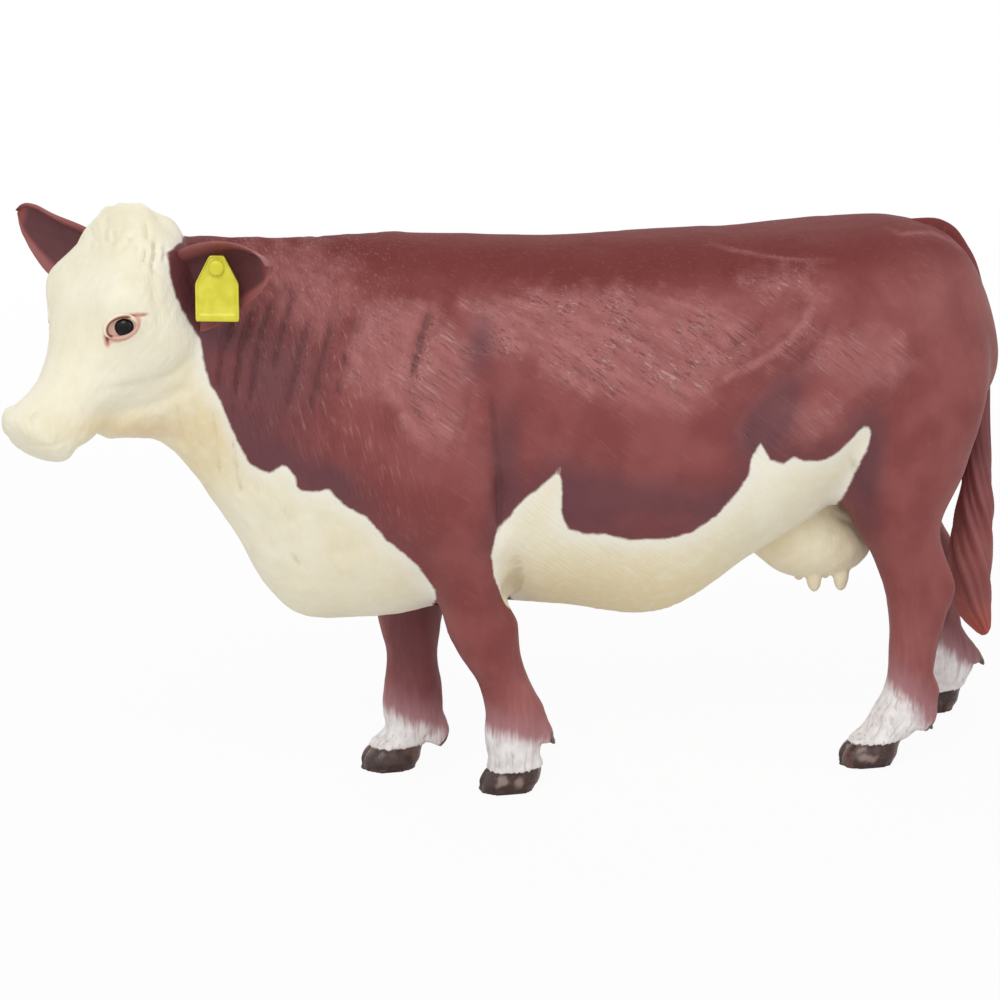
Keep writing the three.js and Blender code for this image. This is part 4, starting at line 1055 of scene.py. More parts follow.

# %% The shades sprayed over the coat, and painted shade in the hollows
DARK = [
    # centre and radii on the picture, turn: sprayed darker patches, some of them painted shade,
    # as under the ear and in the elbow's crease
    ((252, 448), (40, 26), 30), ((506, 465), (15, 62), 0), ((660, 500), (82, 22), 4),
    ((768, 425), (30, 26), -30), ((780, 402), (44, 17), -57), ((330, 480), (40, 20), 30),
    ((868, 480), (16, 60), 0), ((590, 500), (34, 30), 0), ((272, 378), (50, 54), 0),
    ((188, 300), (13, 46), -12), ((225, 336), (26, 14), 0), ((480, 345), (14, 30), 10),
]
dark = np.clip(sum(patch(places, *oval) for oval in DARK), 0, 1) * (coat > -1)
edge_dark = bell(np.maximum(coat, 0), 2.4) * smoothstep(level, 30, 36)
# painted shade on the inner sides of the legs, where they face each other
inner = low_share * smoothstep(np.where(nearest % 2 == 0, carved_normals[:, 1],
                                        -carved_normals[:, 1]), 0.2, 0.8)
shade = np.clip(0.85 * dark + 0.5 * edge_dark + 0.6 * inner, 0, 1)
# a deeper red on the upward faces of the back: painted shade that takes down the white world's
# sheen there
top_red = smoothstep(carved_normals[:, 2], 0.25, 0.85) * smoothstep(level, 50, 62) \
    * (1 - head_share)
# a warmer, darker cream: painted shade along the belly's lower edge and under the jaw, and a
# warmer tone on the belly's peak and the brisket
warm = np.clip(smoothstep(places[:, 1], 520, 600) * smoothstep(places[:, 0], 480, 560)
               + patch(places, (205, 440), (46, 56)) + patch(places, (120, 428), (50, 13))
               + 0.45 * patch(places, (556, 484), (34, 28))
               + 0.2 * patch(places, (340, 570), (80, 50)), 0, 1)
rim_pink = 1 - smoothstep(eye_round - 0.40 * lower_lid, 1.0, 1.25)
rim_pink *= 1 - 0.5 * smoothstep(eye_long, 0.1, 0.6) * smoothstep(-eye_round, -1.1, -0.9)
# past 1 the pink turns to the dark brown line along the lids: painted shadow at their edges
pink = np.clip((0.75 * rim_pink + 1.55 * lid_lines) * on_side * head_share
               + 0.3 * patch(places, (150, 432), (50, 14)), 0, 2)
COLUMNS = {
    "coat": coat, "hoof": hoof, "white": white, "shade": shade, "lit": lit, "hollow": hollow,
    "warm": warm, "pink": pink, "top_red": top_red, "ginger": np.zeros(len(skin)),
    "neck": neck_share * (1 - head_share) * smoothstep(coat, 0.0, 2.5),
    "lay": np.clip(low_share + rump_share * 0.6 + neck_share * 0.7 + head_share, 0, 1),
}

# %% [markdown]
# ## Cutting the skin into its pieces
# The toy is glued up from a body, a head and four legs. The faces of the one skin are dealt
# out along the same seams, and each open rim is closed by a fan inside. The pieces keep the
# normals of the whole skin, so light runs across the seams without a line.

# %% Dealing out the faces
SKIN_PIECES = ["torso", "head", *LEGS]
centre = carved[quads].mean(1)
owner = np.zeros(len(quads), int)
owner[ahead_of_seam(centre) > 0] = 1
centre_reach = np.stack([leg_reach(centre, name) for name in LEGS])
seams = np.array([LEGS[name][0]["seam"] for name in LEGS])
which = centre_reach.argmin(0)
fill = np.stack([leg_fill(centre, name, 1.5) for name in LEGS])
in_leg = (centre[:, 2] < seams[which]) & ((fill.min(0) < 1.0) | (centre[:, 2] < 17.0))
owner[in_leg] = 2 + which[in_leg]
print("faces:", dict(zip(SKIN_PIECES, np.bincount(owner).tolist())))

# %% Writing the pieces, with their rims closed
def write_piece(name, points, faces, columns=None, piece_normals=None):
    """A mesh object from points in millimetres, with named point values and, if given, its
    own vertex normals."""
    mesh = new_mesh(name, points * MM, faces)
    mesh.shade_smooth()
    for key, values in (columns or {}).items():
        mesh.attributes.new(key, "FLOAT", "POINT").data.foreach_set("value", values)
    if piece_normals is not None:
        mesh.normals_split_custom_set_from_vertices(piece_normals.tolist())
    return linked(name, mesh)


def faces_of(table):
    """Rows of four corners as lists, with three where the last corner is repeated."""
    return [row[:3] if row[2] == row[3] else row for row in table.tolist()]


def cut_piece(name, index):
    """The faces of one owner, with each rim that it shares with another owner closed by a
    fan of triangles to the rim's middle."""
    table = quads[owner == index]
    used, flat = np.unique(table, return_inverse=True)
    table = flat.reshape(table.shape)
    faces = faces_of(table)
    sides = np.concatenate([table[:, [0, 1]], table[:, [1, 2]], table[:, [2, 3]],
                            table[:, [3, 0]]])
    sides = sides[sides[:, 0] != sides[:, 1]]
    keys = {(int(a), int(b)) for a, b in sides}
    rim = np.array([pair for pair in keys if (pair[1], pair[0]) not in keys])
    points = carved[used]
    columns = {key: values[used] for key, values in COLUMNS.items()}
    piece_normals = carved_normals[used]
    # the torso has a rim for each leg, 0 to 3, and one for the neck, 4
    group = np.zeros(len(rim), int)
    if index == 0:
        middle_rim = points[rim].mean(1)
        away = np.stack([leg_reach(middle_rim, leg) for leg in LEGS])
        group = np.where(ahead_of_seam(middle_rim) > -4, 4, away.argmin(0))
    for number in np.unique(group):
        pairs = rim[group == number]
        # a leg's cap is drawn 1 mm into its own piece: up in the torso, down in the leg
        inside_shift = [0.0, 0.0, (number != 4) * (1.0 if index == 0 else -(index > 1))]
        points = np.concatenate([points, [points[pairs].reshape(-1, 3).mean(0)
                                          + inside_shift]])
        piece_normals = np.concatenate([piece_normals, [[0.0, 0.0, 1.0]]])
        columns = {key: np.append(values, values[pairs[0, 0]]) for key, values in
                   columns.items()}
        faces += [[b, a, len(points) - 1] for a, b in pairs.tolist()]
    piece = write_piece(name + "_skin", points, faces, columns, piece_normals)
    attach(piece, "cow")
    "cream_coat" if name == "head" else "red_coat"
    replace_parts(piece, name)
    return piece


skin_pieces = {name: cut_piece(name, index) for index, name in enumerate(SKIN_PIECES)}
print({name: len(piece.data.polygons) for name, piece in skin_pieces.items()})

# %% [markdown]
# ## Ears
# Each ear is a thin crescent blade on a round stem, hollow towards the front. A loft of
# crescents is the natural surface: across the blade the middle line sinks back by the cup,
# and the thickness runs from a fleshy middle to a thinner rolled rim.

# %% Ear frames and blades
EAR_LENGTH, EAR_WIDTH, EAR_BLADE, EAR_CUP, EAR_STEM_RADIUS = 14.8, 10.5, 1.3, 1.8, 1.9
EAR = {
    "along": [-0.2, 0, 0.12, 0.3, 0.55, 0.78, 0.9, 0.97, 1],
    "top": [0.17, 0.3, 0.44, 0.52, 0.52, 0.46, 0.38, 0.27, 0.17],
    "bottom": [-0.17, -0.34, -0.46, -0.48, -0.38, -0.22, -0.10, 0.01, 0.10],
    "cup": [0, 0.35, 0.85, 1, 1, 0.8, 0.5, 0.25, 0.1],
    "stem": [1, 0.75, 0.3, 0.1, 0, 0, 0, 0, 0],
}
EAR_BEND = {"left_ear": [0, 0, 0, -0.5, -0.9], "right_ear": [0.5, -0.7, -1.2, -0.5, 0.3]}
EAR_LOWER = {"left_ear": 1.0, "right_ear": 0.68}
# side, sweep and lift in degrees, root as shares of the head's length, depth and half width
EAR_PLANS = {"left_ear": (-1, 25.0, 17.0, (0.22, -0.48, 0.58)),
             "right_ear": (1, -14.0, 20.0, (0.22, -0.34, 0.74))}


def ear_axes(side, sweep_deg, lift_deg, root_shares):
    """An ear's root, and its axes: out to the tip, up across the blade, and forwards out of
    its opening."""
    sweep, lift = math.radians(sweep_deg), math.radians(lift_deg)
    outwards = head_right * side
    level_axis = math.cos(sweep) * outwards - math.sin(sweep) * head_ahead
    opening = math.sin(sweep) * outwards + math.cos(sweep) * head_ahead
    tip = math.cos(lift) * level_axis + math.sin(lift) * upright
    across = -math.sin(lift) * level_axis + math.cos(lift) * upright
    root = in_head(HEAD_LENGTH * root_shares[0], HEAD_DEPTH * root_shares[1],
                   HEAD_HALF_WIDTH * root_shares[2] * side)
    return root, np.array([tip, across, opening])


def ear_blade(plan, bend, lower):
    """At each place out along the ear, a ring of half width times cos u across, and of
    thickness times sin u, thinner towards the edges, sunk back by cup * (1 - cos2 u)."""
    root, axes = ear_axes(*plan)
    out_share, angle = grid("ear", -0.2, 1.0)
    read = read_table(EAR, "along", out_share)
    read["bottom"] = read["bottom"] * (lower + (1 - lower) * read["stem"])
    edge = np.cos(angle)
    half = EAR_WIDTH * (read["top"] - read["bottom"]) / 2
    centre_line = EAR_WIDTH * (read["top"] + read["bottom"]) / 2
    blade = EAR_BLADE / 2 + (EAR_STEM_RADIUS - EAR_BLADE / 2) * read["stem"]
    rolled = smoothstep(edge, 0.55, 0.95) + 0.10 * smoothstep(-edge, 0.6, 0.95)
    thick = blade * np.sin(angle) * (1 - 0.30 * edge**2) * (1 + 0.5 * rolled) \
        * (1 - 0.35 * smoothstep(-edge, 0.55, 0.95))
    roll = 0.85 * rolled * smoothstep(out_share, 0.05, 0.3)
    sunk = -EAR_CUP * read["cup"] * (1 - edge**2)
    x = np.broadcast_to(EAR_LENGTH * out_share, thick.shape)
    y = centre_line + half * edge + read_row([0, 0.3, 0.6, 0.85, 1], bend, out_share)
    rings = np.stack([x, y, sunk + thick + roll], -1)
    ripple = 0.10 * noise(rings.reshape(-1, 3) * [0.3, 1.4, 1.0], 51).reshape(thick.shape)
    rings[..., 2] += ripple * (1 - read["stem"])
    points, faces = loft(rings @ axes + root)
    # front marks the cup, painted in shade; rim marks the rolled rim, painted as a highlight
    front = (np.sin(angle) > 0) * (1 - smoothstep(np.abs(edge), 0.58, 0.80)) \
        * smoothstep(out_share, 0.0, 0.2) * (1 - smoothstep(out_share, 0.9, 0.97))
    rim = smoothstep(np.abs(edge), 0.62, 0.82) * np.ones_like(out_share)
    deep = np.append(np.broadcast_to(front, thick.shape).ravel(), [0, 0])
    pale = np.append(np.broadcast_to(rim, thick.shape).ravel(), [0, 0])
    return points, faces, deep, pale

# %% Both ears
def plain_columns(count, **given):
    """A value for every painted column: those given, and a default for the rest."""
    usual = dict.fromkeys(COLUMNS, 0.0) | {"coat": -FAR_OFF, "hoof": FAR_OFF,
                                           "white": FAR_OFF, "lay": 1.0}
    return {key: np.broadcast_to(np.asarray(given.get(key, value), float), count).copy()
            for key, value in usual.items()}


hide_pieces = list(skin_pieces.values())
for name, plan in EAR_PLANS.items():
    points, faces, deep, pale = ear_blade(plan, EAR_BEND[name], EAR_LOWER[name])
    # the cup gets painted shade, the rim a painted highlight
    ear = write_piece(name + "_skin", points, faces, plain_columns(
        len(points), shade=deep, lit=0.65 * pale, hollow=0.12 * deep))
    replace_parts(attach(ear, "cow"), name)
    hide_pieces.append(ear)
    print(name, "from", points.min(0).round(1), "to", points.max(0).round(1))

# %% [markdown]
# ## Tail
# The tail is a cord of hair: a plain tapering rope that swells into a tuft of twisted locks.
# A ring carried down a curve does both, with the ring's radius rippled by a few waves whose
# phase turns on the way down, so the locks wind round the tuft.

# %% The tail along its curve
TAIL_DROP, TAIL_THICKNESS, TUFT_WIDTH = 57.0, 3.4, 6.2
TAIL = {
    "down": [0.015, 0.042, 0.108, 0.17, 0.25, 0.37, 0.51, 0.62, 0.72, 0.83, 0.915, 0.985,
             1],
    "back": [-0.234, -0.134, -0.076, -0.045, -0.025, -0.016, -0.016, -0.018, -0.025, -0.03,
             -0.02, 0.01, 0.015],
    "lift": [0.78, 1.5, 1.7, 0.9, 0, 0, 0, 0, 0, 0, 0, 0, 0],
    "across": [0, 0, 0, 0, 0, 0, 0, -0.005, -0.01, -0.01, -0.005, 0, 0],
    "size": [0.4, 0.8, 0.92, 0.9, 0.85, 0.8, 0.85, 0.85, 0.9, 0.95, 0.8, 0.35, 0.15],
    "tuft": [0, 0, 0, 0, 0, 0, 0.15, 0.5, 0.9, 1, 1, 1, 1],
}


def tail_surface():
    """Rings square to the curve of the tail. Radius = size * (1.04 - groove * waves + a
    little noise), and the waves' angle turns on the way down."""
    share, angle = grid("tail", TAIL["down"][0], 1.0)
    read = read_table(TAIL, "down", share)
    size = (TAIL_THICKNESS + (TUFT_WIDTH - TAIL_THICKNESS) * read["tuft"]) * read["size"] / 2
    curve = np.concatenate([TRUNK_LENGTH + TAIL_DROP * read["back"],
                            TAIL_DROP * read["across"],
                            BACK_HEIGHT * 0.968 + read["lift"] - TAIL_DROP * share],
                           -1) + PART_OFFSET
    across = np.array([0.0, 1.0, 0.0])
    back = unit(np.cross(across, unit(np.gradient(curve, axis=0))))
    turned = angle + 5.0 * share + 0.5 * np.sin(9 * share)
    waves = 0.5 + 0.5 * np.cos(6 * turned) + 0.35 * np.cos(11 * turned + 7 * share)
    fine_waves = noise(np.stack([np.cos(turned) * 4, np.sin(turned) * 4,
                                 np.broadcast_to(share * 9, turned.shape)], -1).reshape(-1, 3),
                       61).reshape(turned.shape)
    groove = 0.03 + 0.15 * read["tuft"]
    reach = size * (1.04 - groove * waves + (0.03 + 0.07 * read["tuft"]) * fine_waves)
    ring = curve[:, None] + reach[..., None] * (
        np.cos(angle)[..., None] * back[:, None] + np.sin(angle)[..., None] * across)
    hollow_share = np.clip(groove * (waves - 0.5) * 0.55, -0.05, 0.12)
    return (*loft(ring), np.append(hollow_share.ravel(), [0, 0]),
            np.append(np.broadcast_to(read["tuft"], turned.shape).ravel(), [0, 1]))


points, faces, deep, tuft = tail_surface()
height_share = (points[:, 2] - points[:, 2].min()) / np.ptp(points[:, 2])
# lit paints a highlight on the tuft, and the deeper red at the root is painted shade
tail = write_piece("tail_skin", points, faces, plain_columns(
    len(points), hollow=deep, lit=0.35 * tuft,
    shade=0.55 * (1 - tuft) * (1 - smoothstep(height_share, 0.75, 0.95)),
    top_red=smoothstep(height_share, 0.82, 0.97),
    ginger=1 - smoothstep(height_share, 0.0, 0.12)))
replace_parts(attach(tail, "cow"), "tail")
hide_pieces.append(tail)
print("tail from", points.min(0).round(1), "to", points.max(0).round(1))

# %% [markdown]
# ## Udder
# The udder is a soft bag with four teats. A loft and four small ellipsoids are melted
# together like the skin, relaxed so that each teat grows out of the bag, and then folded
# along the middle and at the flank.

# %% The bag and its teats
UDDER_LENGTH, UDDER_WIDTH, UDDER_DROP, TEAT_RADIUS, TEAT_LENGTH = 17.0, 13.0, 9.0, 1.08, 2.5
UDDER = {"down": [-0.35, 0, 0.35, 0.62, 0.82, 0.94, 1],
         "size": [0.6, 0.86, 1, 0.93, 0.74, 0.5, 0.26],
         "back": [-0.1, -0.05, 0, 0.03, 0.05, 0.06, 0.06]}
udder_top = np.array([TRUNK_LENGTH * 0.782, 0.0, BACK_HEIGHT * 0.45]) + PART_OFFSET


def udder_surface():
    """Level superellipses of power 2.2, whose size and set back follow the table."""
    share, angle = grid("udder", -0.35, 1.0)
    read = read_table(UDDER, "down", share)
    x = UDDER_LENGTH * (read["back"] + read["size"] / 2 * signed_power(np.sin(angle), ROUND))
    y = UDDER_WIDTH * read["size"] / 2 * signed_power(np.cos(angle), ROUND)
    z = np.broadcast_to(-UDDER_DROP * share, x.shape)
    return loft(np.stack([x, y, z], -1) + udder_top)


teats = [ball(udder_top + [UDDER_LENGTH * back, UDDER_WIDTH * side,
                           -UDDER_DROP + TEAT_LENGTH * 0.35],
              (TEAT_RADIUS, TEAT_RADIUS, TEAT_LENGTH))
         for back in (0.0, 0.22) for side in (-0.24, 0.24)]
UDDER_VOXEL = 0.24
bag, bag_quads = fused([udder_surface(), *teats], UDDER_VOXEL)
bag_edges = edges_of(bag_quads)
bag = rounded(bag, bag_edges, 5)
bag_normals = normals_of(bag, bag_quads)
bag_places = photo_place(near_side(bag))
from_middle = bag[:, 1] - udder_top[1]
lower = 1 - smoothstep(bag[:, 2], udder_top[2] - 9.5, udder_top[2] - 8.0)
fold = -0.35 * bell(from_middle, 0.9) * (1 - lower)
fold -= 0.30 * stroke(bag_places, [(836, 515), (852, 522), (872, 546)], 4.0)
fold += 0.08 * noise(bag / 1.6, 71) + 0.03 * noise(bag / 0.7, 72)
bag = bag + bag_normals * fold[:, None]
udder = write_piece("udder_skin", bag, bag_quads.tolist(), plain_columns(
    len(bag), coat=FAR_OFF, warm=0.48, pink=0.15 * lower,
    hollow=np.einsum("ij,ij->i", relaxed(bag, bag_edges, HOLLOW_ROUNDS) - bag,
                     bag_normals)))
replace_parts(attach(udder, "cow"), "udder")
hide_pieces.append(udder)
print("udder:", len(bag), "vertices, from", bag.min(0).round(1), "to", bag.max(0).round(1))

# %% [markdown]
# ## Dewclaws, eyes and lids
# These are too fine for the skin's mesh. A dewclaw is a horn, a round ring that shrinks
# along a bent path. An eyeball is an ellipsoid set in its socket, and each pair of lids is a
# round profile carried round the eye's oval, thicker above than below.

# %% Dewclaws behind each fetlock
def horn(start, ahead, bend, length, radius, turns_round=28):
    """Rings along start + ahead * s + bend * s2, square to it, whose radius is radius *
    (1 - 0.35 s) * the square root of (1 - s4), for s from 0 to 1 of the length."""
    share, angle = spaced(24, 0.0, 0.985), turns(turns_round)
    curve = start + length * (share * ahead + share**2 * bend)
    heading = unit(ahead + 2 * share * bend)
    side_axis = unit(np.cross(heading, upright))
    over_axis = np.cross(side_axis, heading)
    size = radius * (1 - 0.35 * share) * (1 - share**4) ** 0.5
    ring = curve[:, None] + size[..., None] * (
        np.cos(angle)[..., None] * side_axis[:, None]
        + 0.8 * np.sin(angle)[..., None] * over_axis[:, None])
    return (*loft(ring), np.append(np.broadcast_to(share, size.shape[:1]
            + (turns_round,)).ravel(), [0, 1]))


for name, (_, _, _, height, _) in FEET.items():
    rows = LEGS[name][0]
    middle = leg_middle(name, height)
    parts, tips = [], []
    for side_sign in (-1, 1):
        back = rows["thickness"] * read_row(rows["up"], rows["long"], height / rows["reach"])
        start = middle + [back - 0.35, 1.3 * side_sign, 1.0]
        points, faces, along_share = horn(
            start, np.array([0.70, 0.10 * side_sign, -0.55]), np.array([0.0, 0.0, -0.30]),
            2.1, 0.84)
        parts.append((points, faces))
        tips.append(along_share)
    points, faces = joined(parts)
    along_share = np.concatenate(tips)
    claws = write_piece(name + "_dewclaws", points, faces, plain_columns(
        len(points), hoof=(along_share - 0.42) * 4.0, lit=0.3, pink=0.3,
        hollow=0.05 * (1 - along_share)))
    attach(claws, "cow")
    hide_pieces.append(claws)
print("dewclaws on", len(FEET), "feet")

# %% The side of the skull, and a ring of lids on it
def skull_side(down_mm, out_mm):
    """How far the skull reaches to the side at a place: the section's superellipse solved
    for across."""
    top, bottom, half, widest, crown, keel = table_sizes(
        SKULL, np.asarray(down_mm, float) / HEAD_LENGTH, HEAD_DEPTH, HEAD_HALF_WIDTH)
    waist = bottom + (top - bottom) * widest
    above = out_mm >= waist
    reach = np.where(above, top - waist, waist - bottom)
    power = np.where(above, crown, keel)
    return half * np.clip(1 - np.abs((out_mm - waist) / reach) ** power, 0, 1) ** (1 / power)


EYE_SUNK = {-1: 0.08, 1: 0.38}


def lid_ring(side_sign):
    """A round profile carried round the eye's oval, laid on the skull. Its radius is larger
    above the eye, and its path is pinched towards the inner corner."""
    path_angle, around = spaced(72, 0, 2 * math.pi)[:-1], turns(16)
    long, high = np.cos(path_angle), np.sin(path_angle)
    reach_long, reach_high = EYE_RADII[0] * 1.04, EYE_RADII[1] * 1.14
    oval = reach_long * long * EYE_LONG + reach_high * high * EYE_HIGH * (1 - 0.18 * -long)
    place = np.array(EYE) + oval
    height = skull_side(place[:, 0], place[:, 1])[:, None] - EYE_SUNK[side_sign]
    size = 0.25 + 0.05 * smoothstep(high, -0.1, 0.9)
    outward_axis = unit(oval)
    offset = size * np.cos(around)
    ring = np.stack([place[:, :1] + offset * outward_axis[:, :1],
                     place[:, 1:] + offset * outward_axis[:, 1:],
                     (height + size * np.sin(around) * 1.1) * side_sign], -1)
    faces = grid_faces(*ring.shape[:2], closed=True).tolist()
    points, faces = outward(ring.reshape(-1, 3) @ head_axes + poll, faces)
    below = smoothstep(-high, -0.4, 0.6)
    # a dark line under the upper lid's edge: painted shadow
    lid_edge_shadow = smoothstep(high + 0.25 * -long, -0.1, 0.3) * smoothstep(-np.cos(around), -0.75, -0.1)
    corner = smoothstep(-long, 0.7, 1.3)
    return points, faces, (0.05 + 0.75 * below + 1.7 * lid_edge_shadow + 0.6 * corner).ravel()

# %% Both eyes
BALL = (EYE[0] + 0.03, EYE[1] - 0.18)
BALL_RADII, BALL_SUNK = (1.22, 1.20, 0.84), 0.62
eye_pieces = []
for name, side_sign in {"left_eye": -1, "right_eye": 1}.items():
    slope = [(skull_side(BALL[0] + dx, BALL[1] + dy) - skull_side(BALL[0] - dx, BALL[1] - dy))
             / 0.6 for dx, dy in ((0.3, 0.0), (0.0, 0.3))]
    facing = unit(np.array([-float(slope[0]), -float(slope[1]), 1.0]))
    along = unit(np.array([*EYE_LONG, 0.0]) - facing * (EYE_LONG @ facing[:2]))
    axes = np.array([along, np.cross(facing, along), facing]) * [1.0, 1.0, side_sign]
    surface = float(skull_side(*BALL))
    sunk = BALL_SUNK + EYE_SUNK[side_sign]
    centre_point = in_head(*(np.array([*BALL, surface]) - facing * sunk) * [1.0, 1.0, side_sign])
    points, faces = ball(centre_point, BALL_RADII, axes @ head_axes)
    eyeball = write_piece(name, points, faces)
    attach(eyeball, "cow")
    eye_pieces.append(eyeball)
    points, faces, pink_and_lid_shadow = lid_ring(side_sign)
    lids = write_piece(name + "_lids", points, faces, plain_columns(
        len(points), coat=FAR_OFF, pink=pink_and_lid_shadow, hollow=0.02))
    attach(lids, "cow")
    hide_pieces.append(lids)
print("eyes and lids at", in_head(EYE[0], EYE[1], -surface).round(2))

# %% [markdown]
# ## Ear tag and stud
# The tag is a moulded yellow plate with a raised rim and a hole for the pin. It is a grid of
# rings: each one blends from the round hole to the house-shaped outline, and the rings climb
# over the rim and down the edge. The stud is a turned profile, spun round the pin.

# %% The stud's frame
TAG_WIDTH, TAG_HEIGHT, TAG_BLADE, TAG_TURN = 5.3, 8.1, 0.7, math.radians(-18.0)
PIN_RADIUS, PIN_PLAY, COLLAR_RADIUS, COLLAR_LENGTH = 0.45, 0.1, 0.8, 2.4
STUD_HEAD_RADIUS, STUD_HEAD_DOME = 0.95, 0.45
ear_root, ear_frame = ear_axes(*EAR_PLANS["left_ear"])
hollow_at = -EAR_CUP * float(read_row(EAR["along"], EAR["cup"], 0.52)) * (1 - 0.5**2)
stud_place = np.array([EAR_LENGTH * 0.52, EAR_WIDTH / 2 * 0.5, hollow_at]) @ ear_frame \
    + ear_root
tag_level = np.array([math.cos(TAG_TURN), math.sin(TAG_TURN), 0.0])
tag_facing = np.cross(tag_level, upright)
tag_axes = np.array([tag_level, upright, tag_facing])
print("stud at", stud_place.round(3))

# %% The plate, its rim and its hole
def tag_outline(angle):
    """The distance from the pin to the tag's edge at each angle: the nearest of its straight
    sides, with the corners rounded by a soft minimum, -log(sum(exp(-k d))) / k."""
    top = TAG_HEIGHT * 0.17
    foot, half = top - TAG_HEIGHT, TAG_WIDTH / 2
    shoulder, neck = top - TAG_HEIGHT * 0.42, TAG_WIDTH / 2 * 0.34
    slope = unit(np.array([top - shoulder, half - neck]))
    sides = [(1.0, 0.0, half), (-1.0, 0.0, half), (0.0, -1.0, -foot), (0.0, 1.0, top + 0.02),
             (slope[0], slope[1], slope @ [half, shoulder]),
             (-slope[0], slope[1], slope @ [half, shoulder])]
    x, y = np.cos(angle), np.sin(angle)
    reach = np.stack([np.where(nx * x + ny * y > 0.02,
                               away / np.maximum(nx * x + ny * y, 0.02), 60.0)
                      for nx, ny, away in sides])
    return -np.log(np.exp(-9 * reach).sum(0)) / 9


def tag_plate():
    """Rings from the hole out over the front, down the edge and back over the rear. Each is
    the blend hole + (edge - hole) * share at its own height."""
    angle = turns(240)[0]
    edge, hole = tag_outline(angle), PIN_RADIUS + PIN_PLAY
    rows = np.array([
        # share from hole to edge, height over the back face
        (0.0, 0.50), (0.02, 0.56), (0.30, 0.56), (0.60, 0.56), (0.80, 0.56), (0.845, 0.57),
        (0.865, 0.66), (0.885, 0.70), (0.955, 0.70), (0.985, 0.68), (1.0, 0.62), (1.0, 0.35),
        (1.0, 0.08), (0.985, 0.02), (0.955, 0.0), (0.60, 0.0), (0.30, 0.0), (0.02, 0.0),
        (0.0, 0.06)])
    reach = np.minimum(hole + (edge - hole) * rows[:, :1], edge)
    back = EAR_BLADE / 2 + COLLAR_LENGTH + PIN_PLAY
    height = np.broadcast_to(rows[:, 1:], reach.shape) + back
    ring = np.stack([reach * np.cos(angle), reach * np.sin(angle), height], -1)
    faces = grid_faces(*ring.shape[:2], closed=True).tolist()
    return outward(ring.reshape(-1, 3) @ tag_axes + stud_place, faces)


points, faces = tag_plate()
tag = write_piece("ear_tag_plate", points, faces)
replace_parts(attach(tag, "tag"), "ear_tag")
print("tag from", points.min(0).round(2), "to", points.max(0).round(2))

# %% The turned stud
def stud_surface():
    """A profile of (radius, height) pairs spun round the pin's axis."""
    back = EAR_BLADE / 2 + COLLAR_LENGTH
    front = back + TAG_BLADE + PIN_PLAY * 2
    button = -EAR_BLADE / 2 - 0.3
    dome = np.linspace(0, math.pi / 2, 9)[1:]
    profile = [(0.02, button - 0.5), (0.8, button - 0.5), (0.92, button - 0.44),
               (0.95, button - 0.32), (0.95, button - 0.08), (0.9, button),
               (PIN_RADIUS, button), (PIN_RADIUS, EAR_BLADE / 2), (0.74, EAR_BLADE / 2),
               (COLLAR_RADIUS, EAR_BLADE / 2 + 0.06), (COLLAR_RADIUS, back - 0.06),
               (0.74, back), (PIN_RADIUS, back), (PIN_RADIUS, front), (0.88, front),
               (STUD_HEAD_RADIUS, front + 0.07)]
    profile += [(max(STUD_HEAD_RADIUS * math.cos(a) ** 0.8, 0.02),
                 front + 0.1 + (STUD_HEAD_DOME - 0.1) * math.sin(a)) for a in dome]
    radius, height = np.array(profile).T[..., None]
    angle = turns(48)
    out = radius * np.cos(angle)
    ring = np.stack([out, radius * np.sin(angle), np.broadcast_to(height, out.shape)], -1)
    return loft(ring @ tag_axes + stud_place)


points, faces = stud_surface()
stud = write_piece("tag_stud_turned", points, faces)
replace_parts(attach(stud, "cow"), "tag_stud")
print("stud from", points.min(0).round(2), "to", points.max(0).round(2))

# %% [markdown]
# ## Materials
# Shader maths reads best as maths, so a small class wraps a socket and turns + - * into
# Math nodes. One method makes every other node from its type, its settings and its sockets.

# %% A small language for node trees
class Value:
    """An output socket that adds, subtracts and multiplies through Math nodes."""

    def __init__(self, recipe, socket):
        self.recipe, self.socket = recipe, socket

    def math(self, operation, other, turned=False):
        pair = (other, self) if turned else (self, other)
        return self.recipe.node("ShaderNodeMath", {"operation": operation},
                                {0: pair[0], 1: pair[1]})

    def __add__(self, other):
        return self.math("ADD", other)

    def __sub__(self, other):
        return self.math("SUBTRACT", other)

    def __rsub__(self, other):
        return self.math("SUBTRACT", other, True)

    def __mul__(self, other):
        return self.math("MULTIPLY", other)

    __radd__, __rmul__ = __add__, __mul__

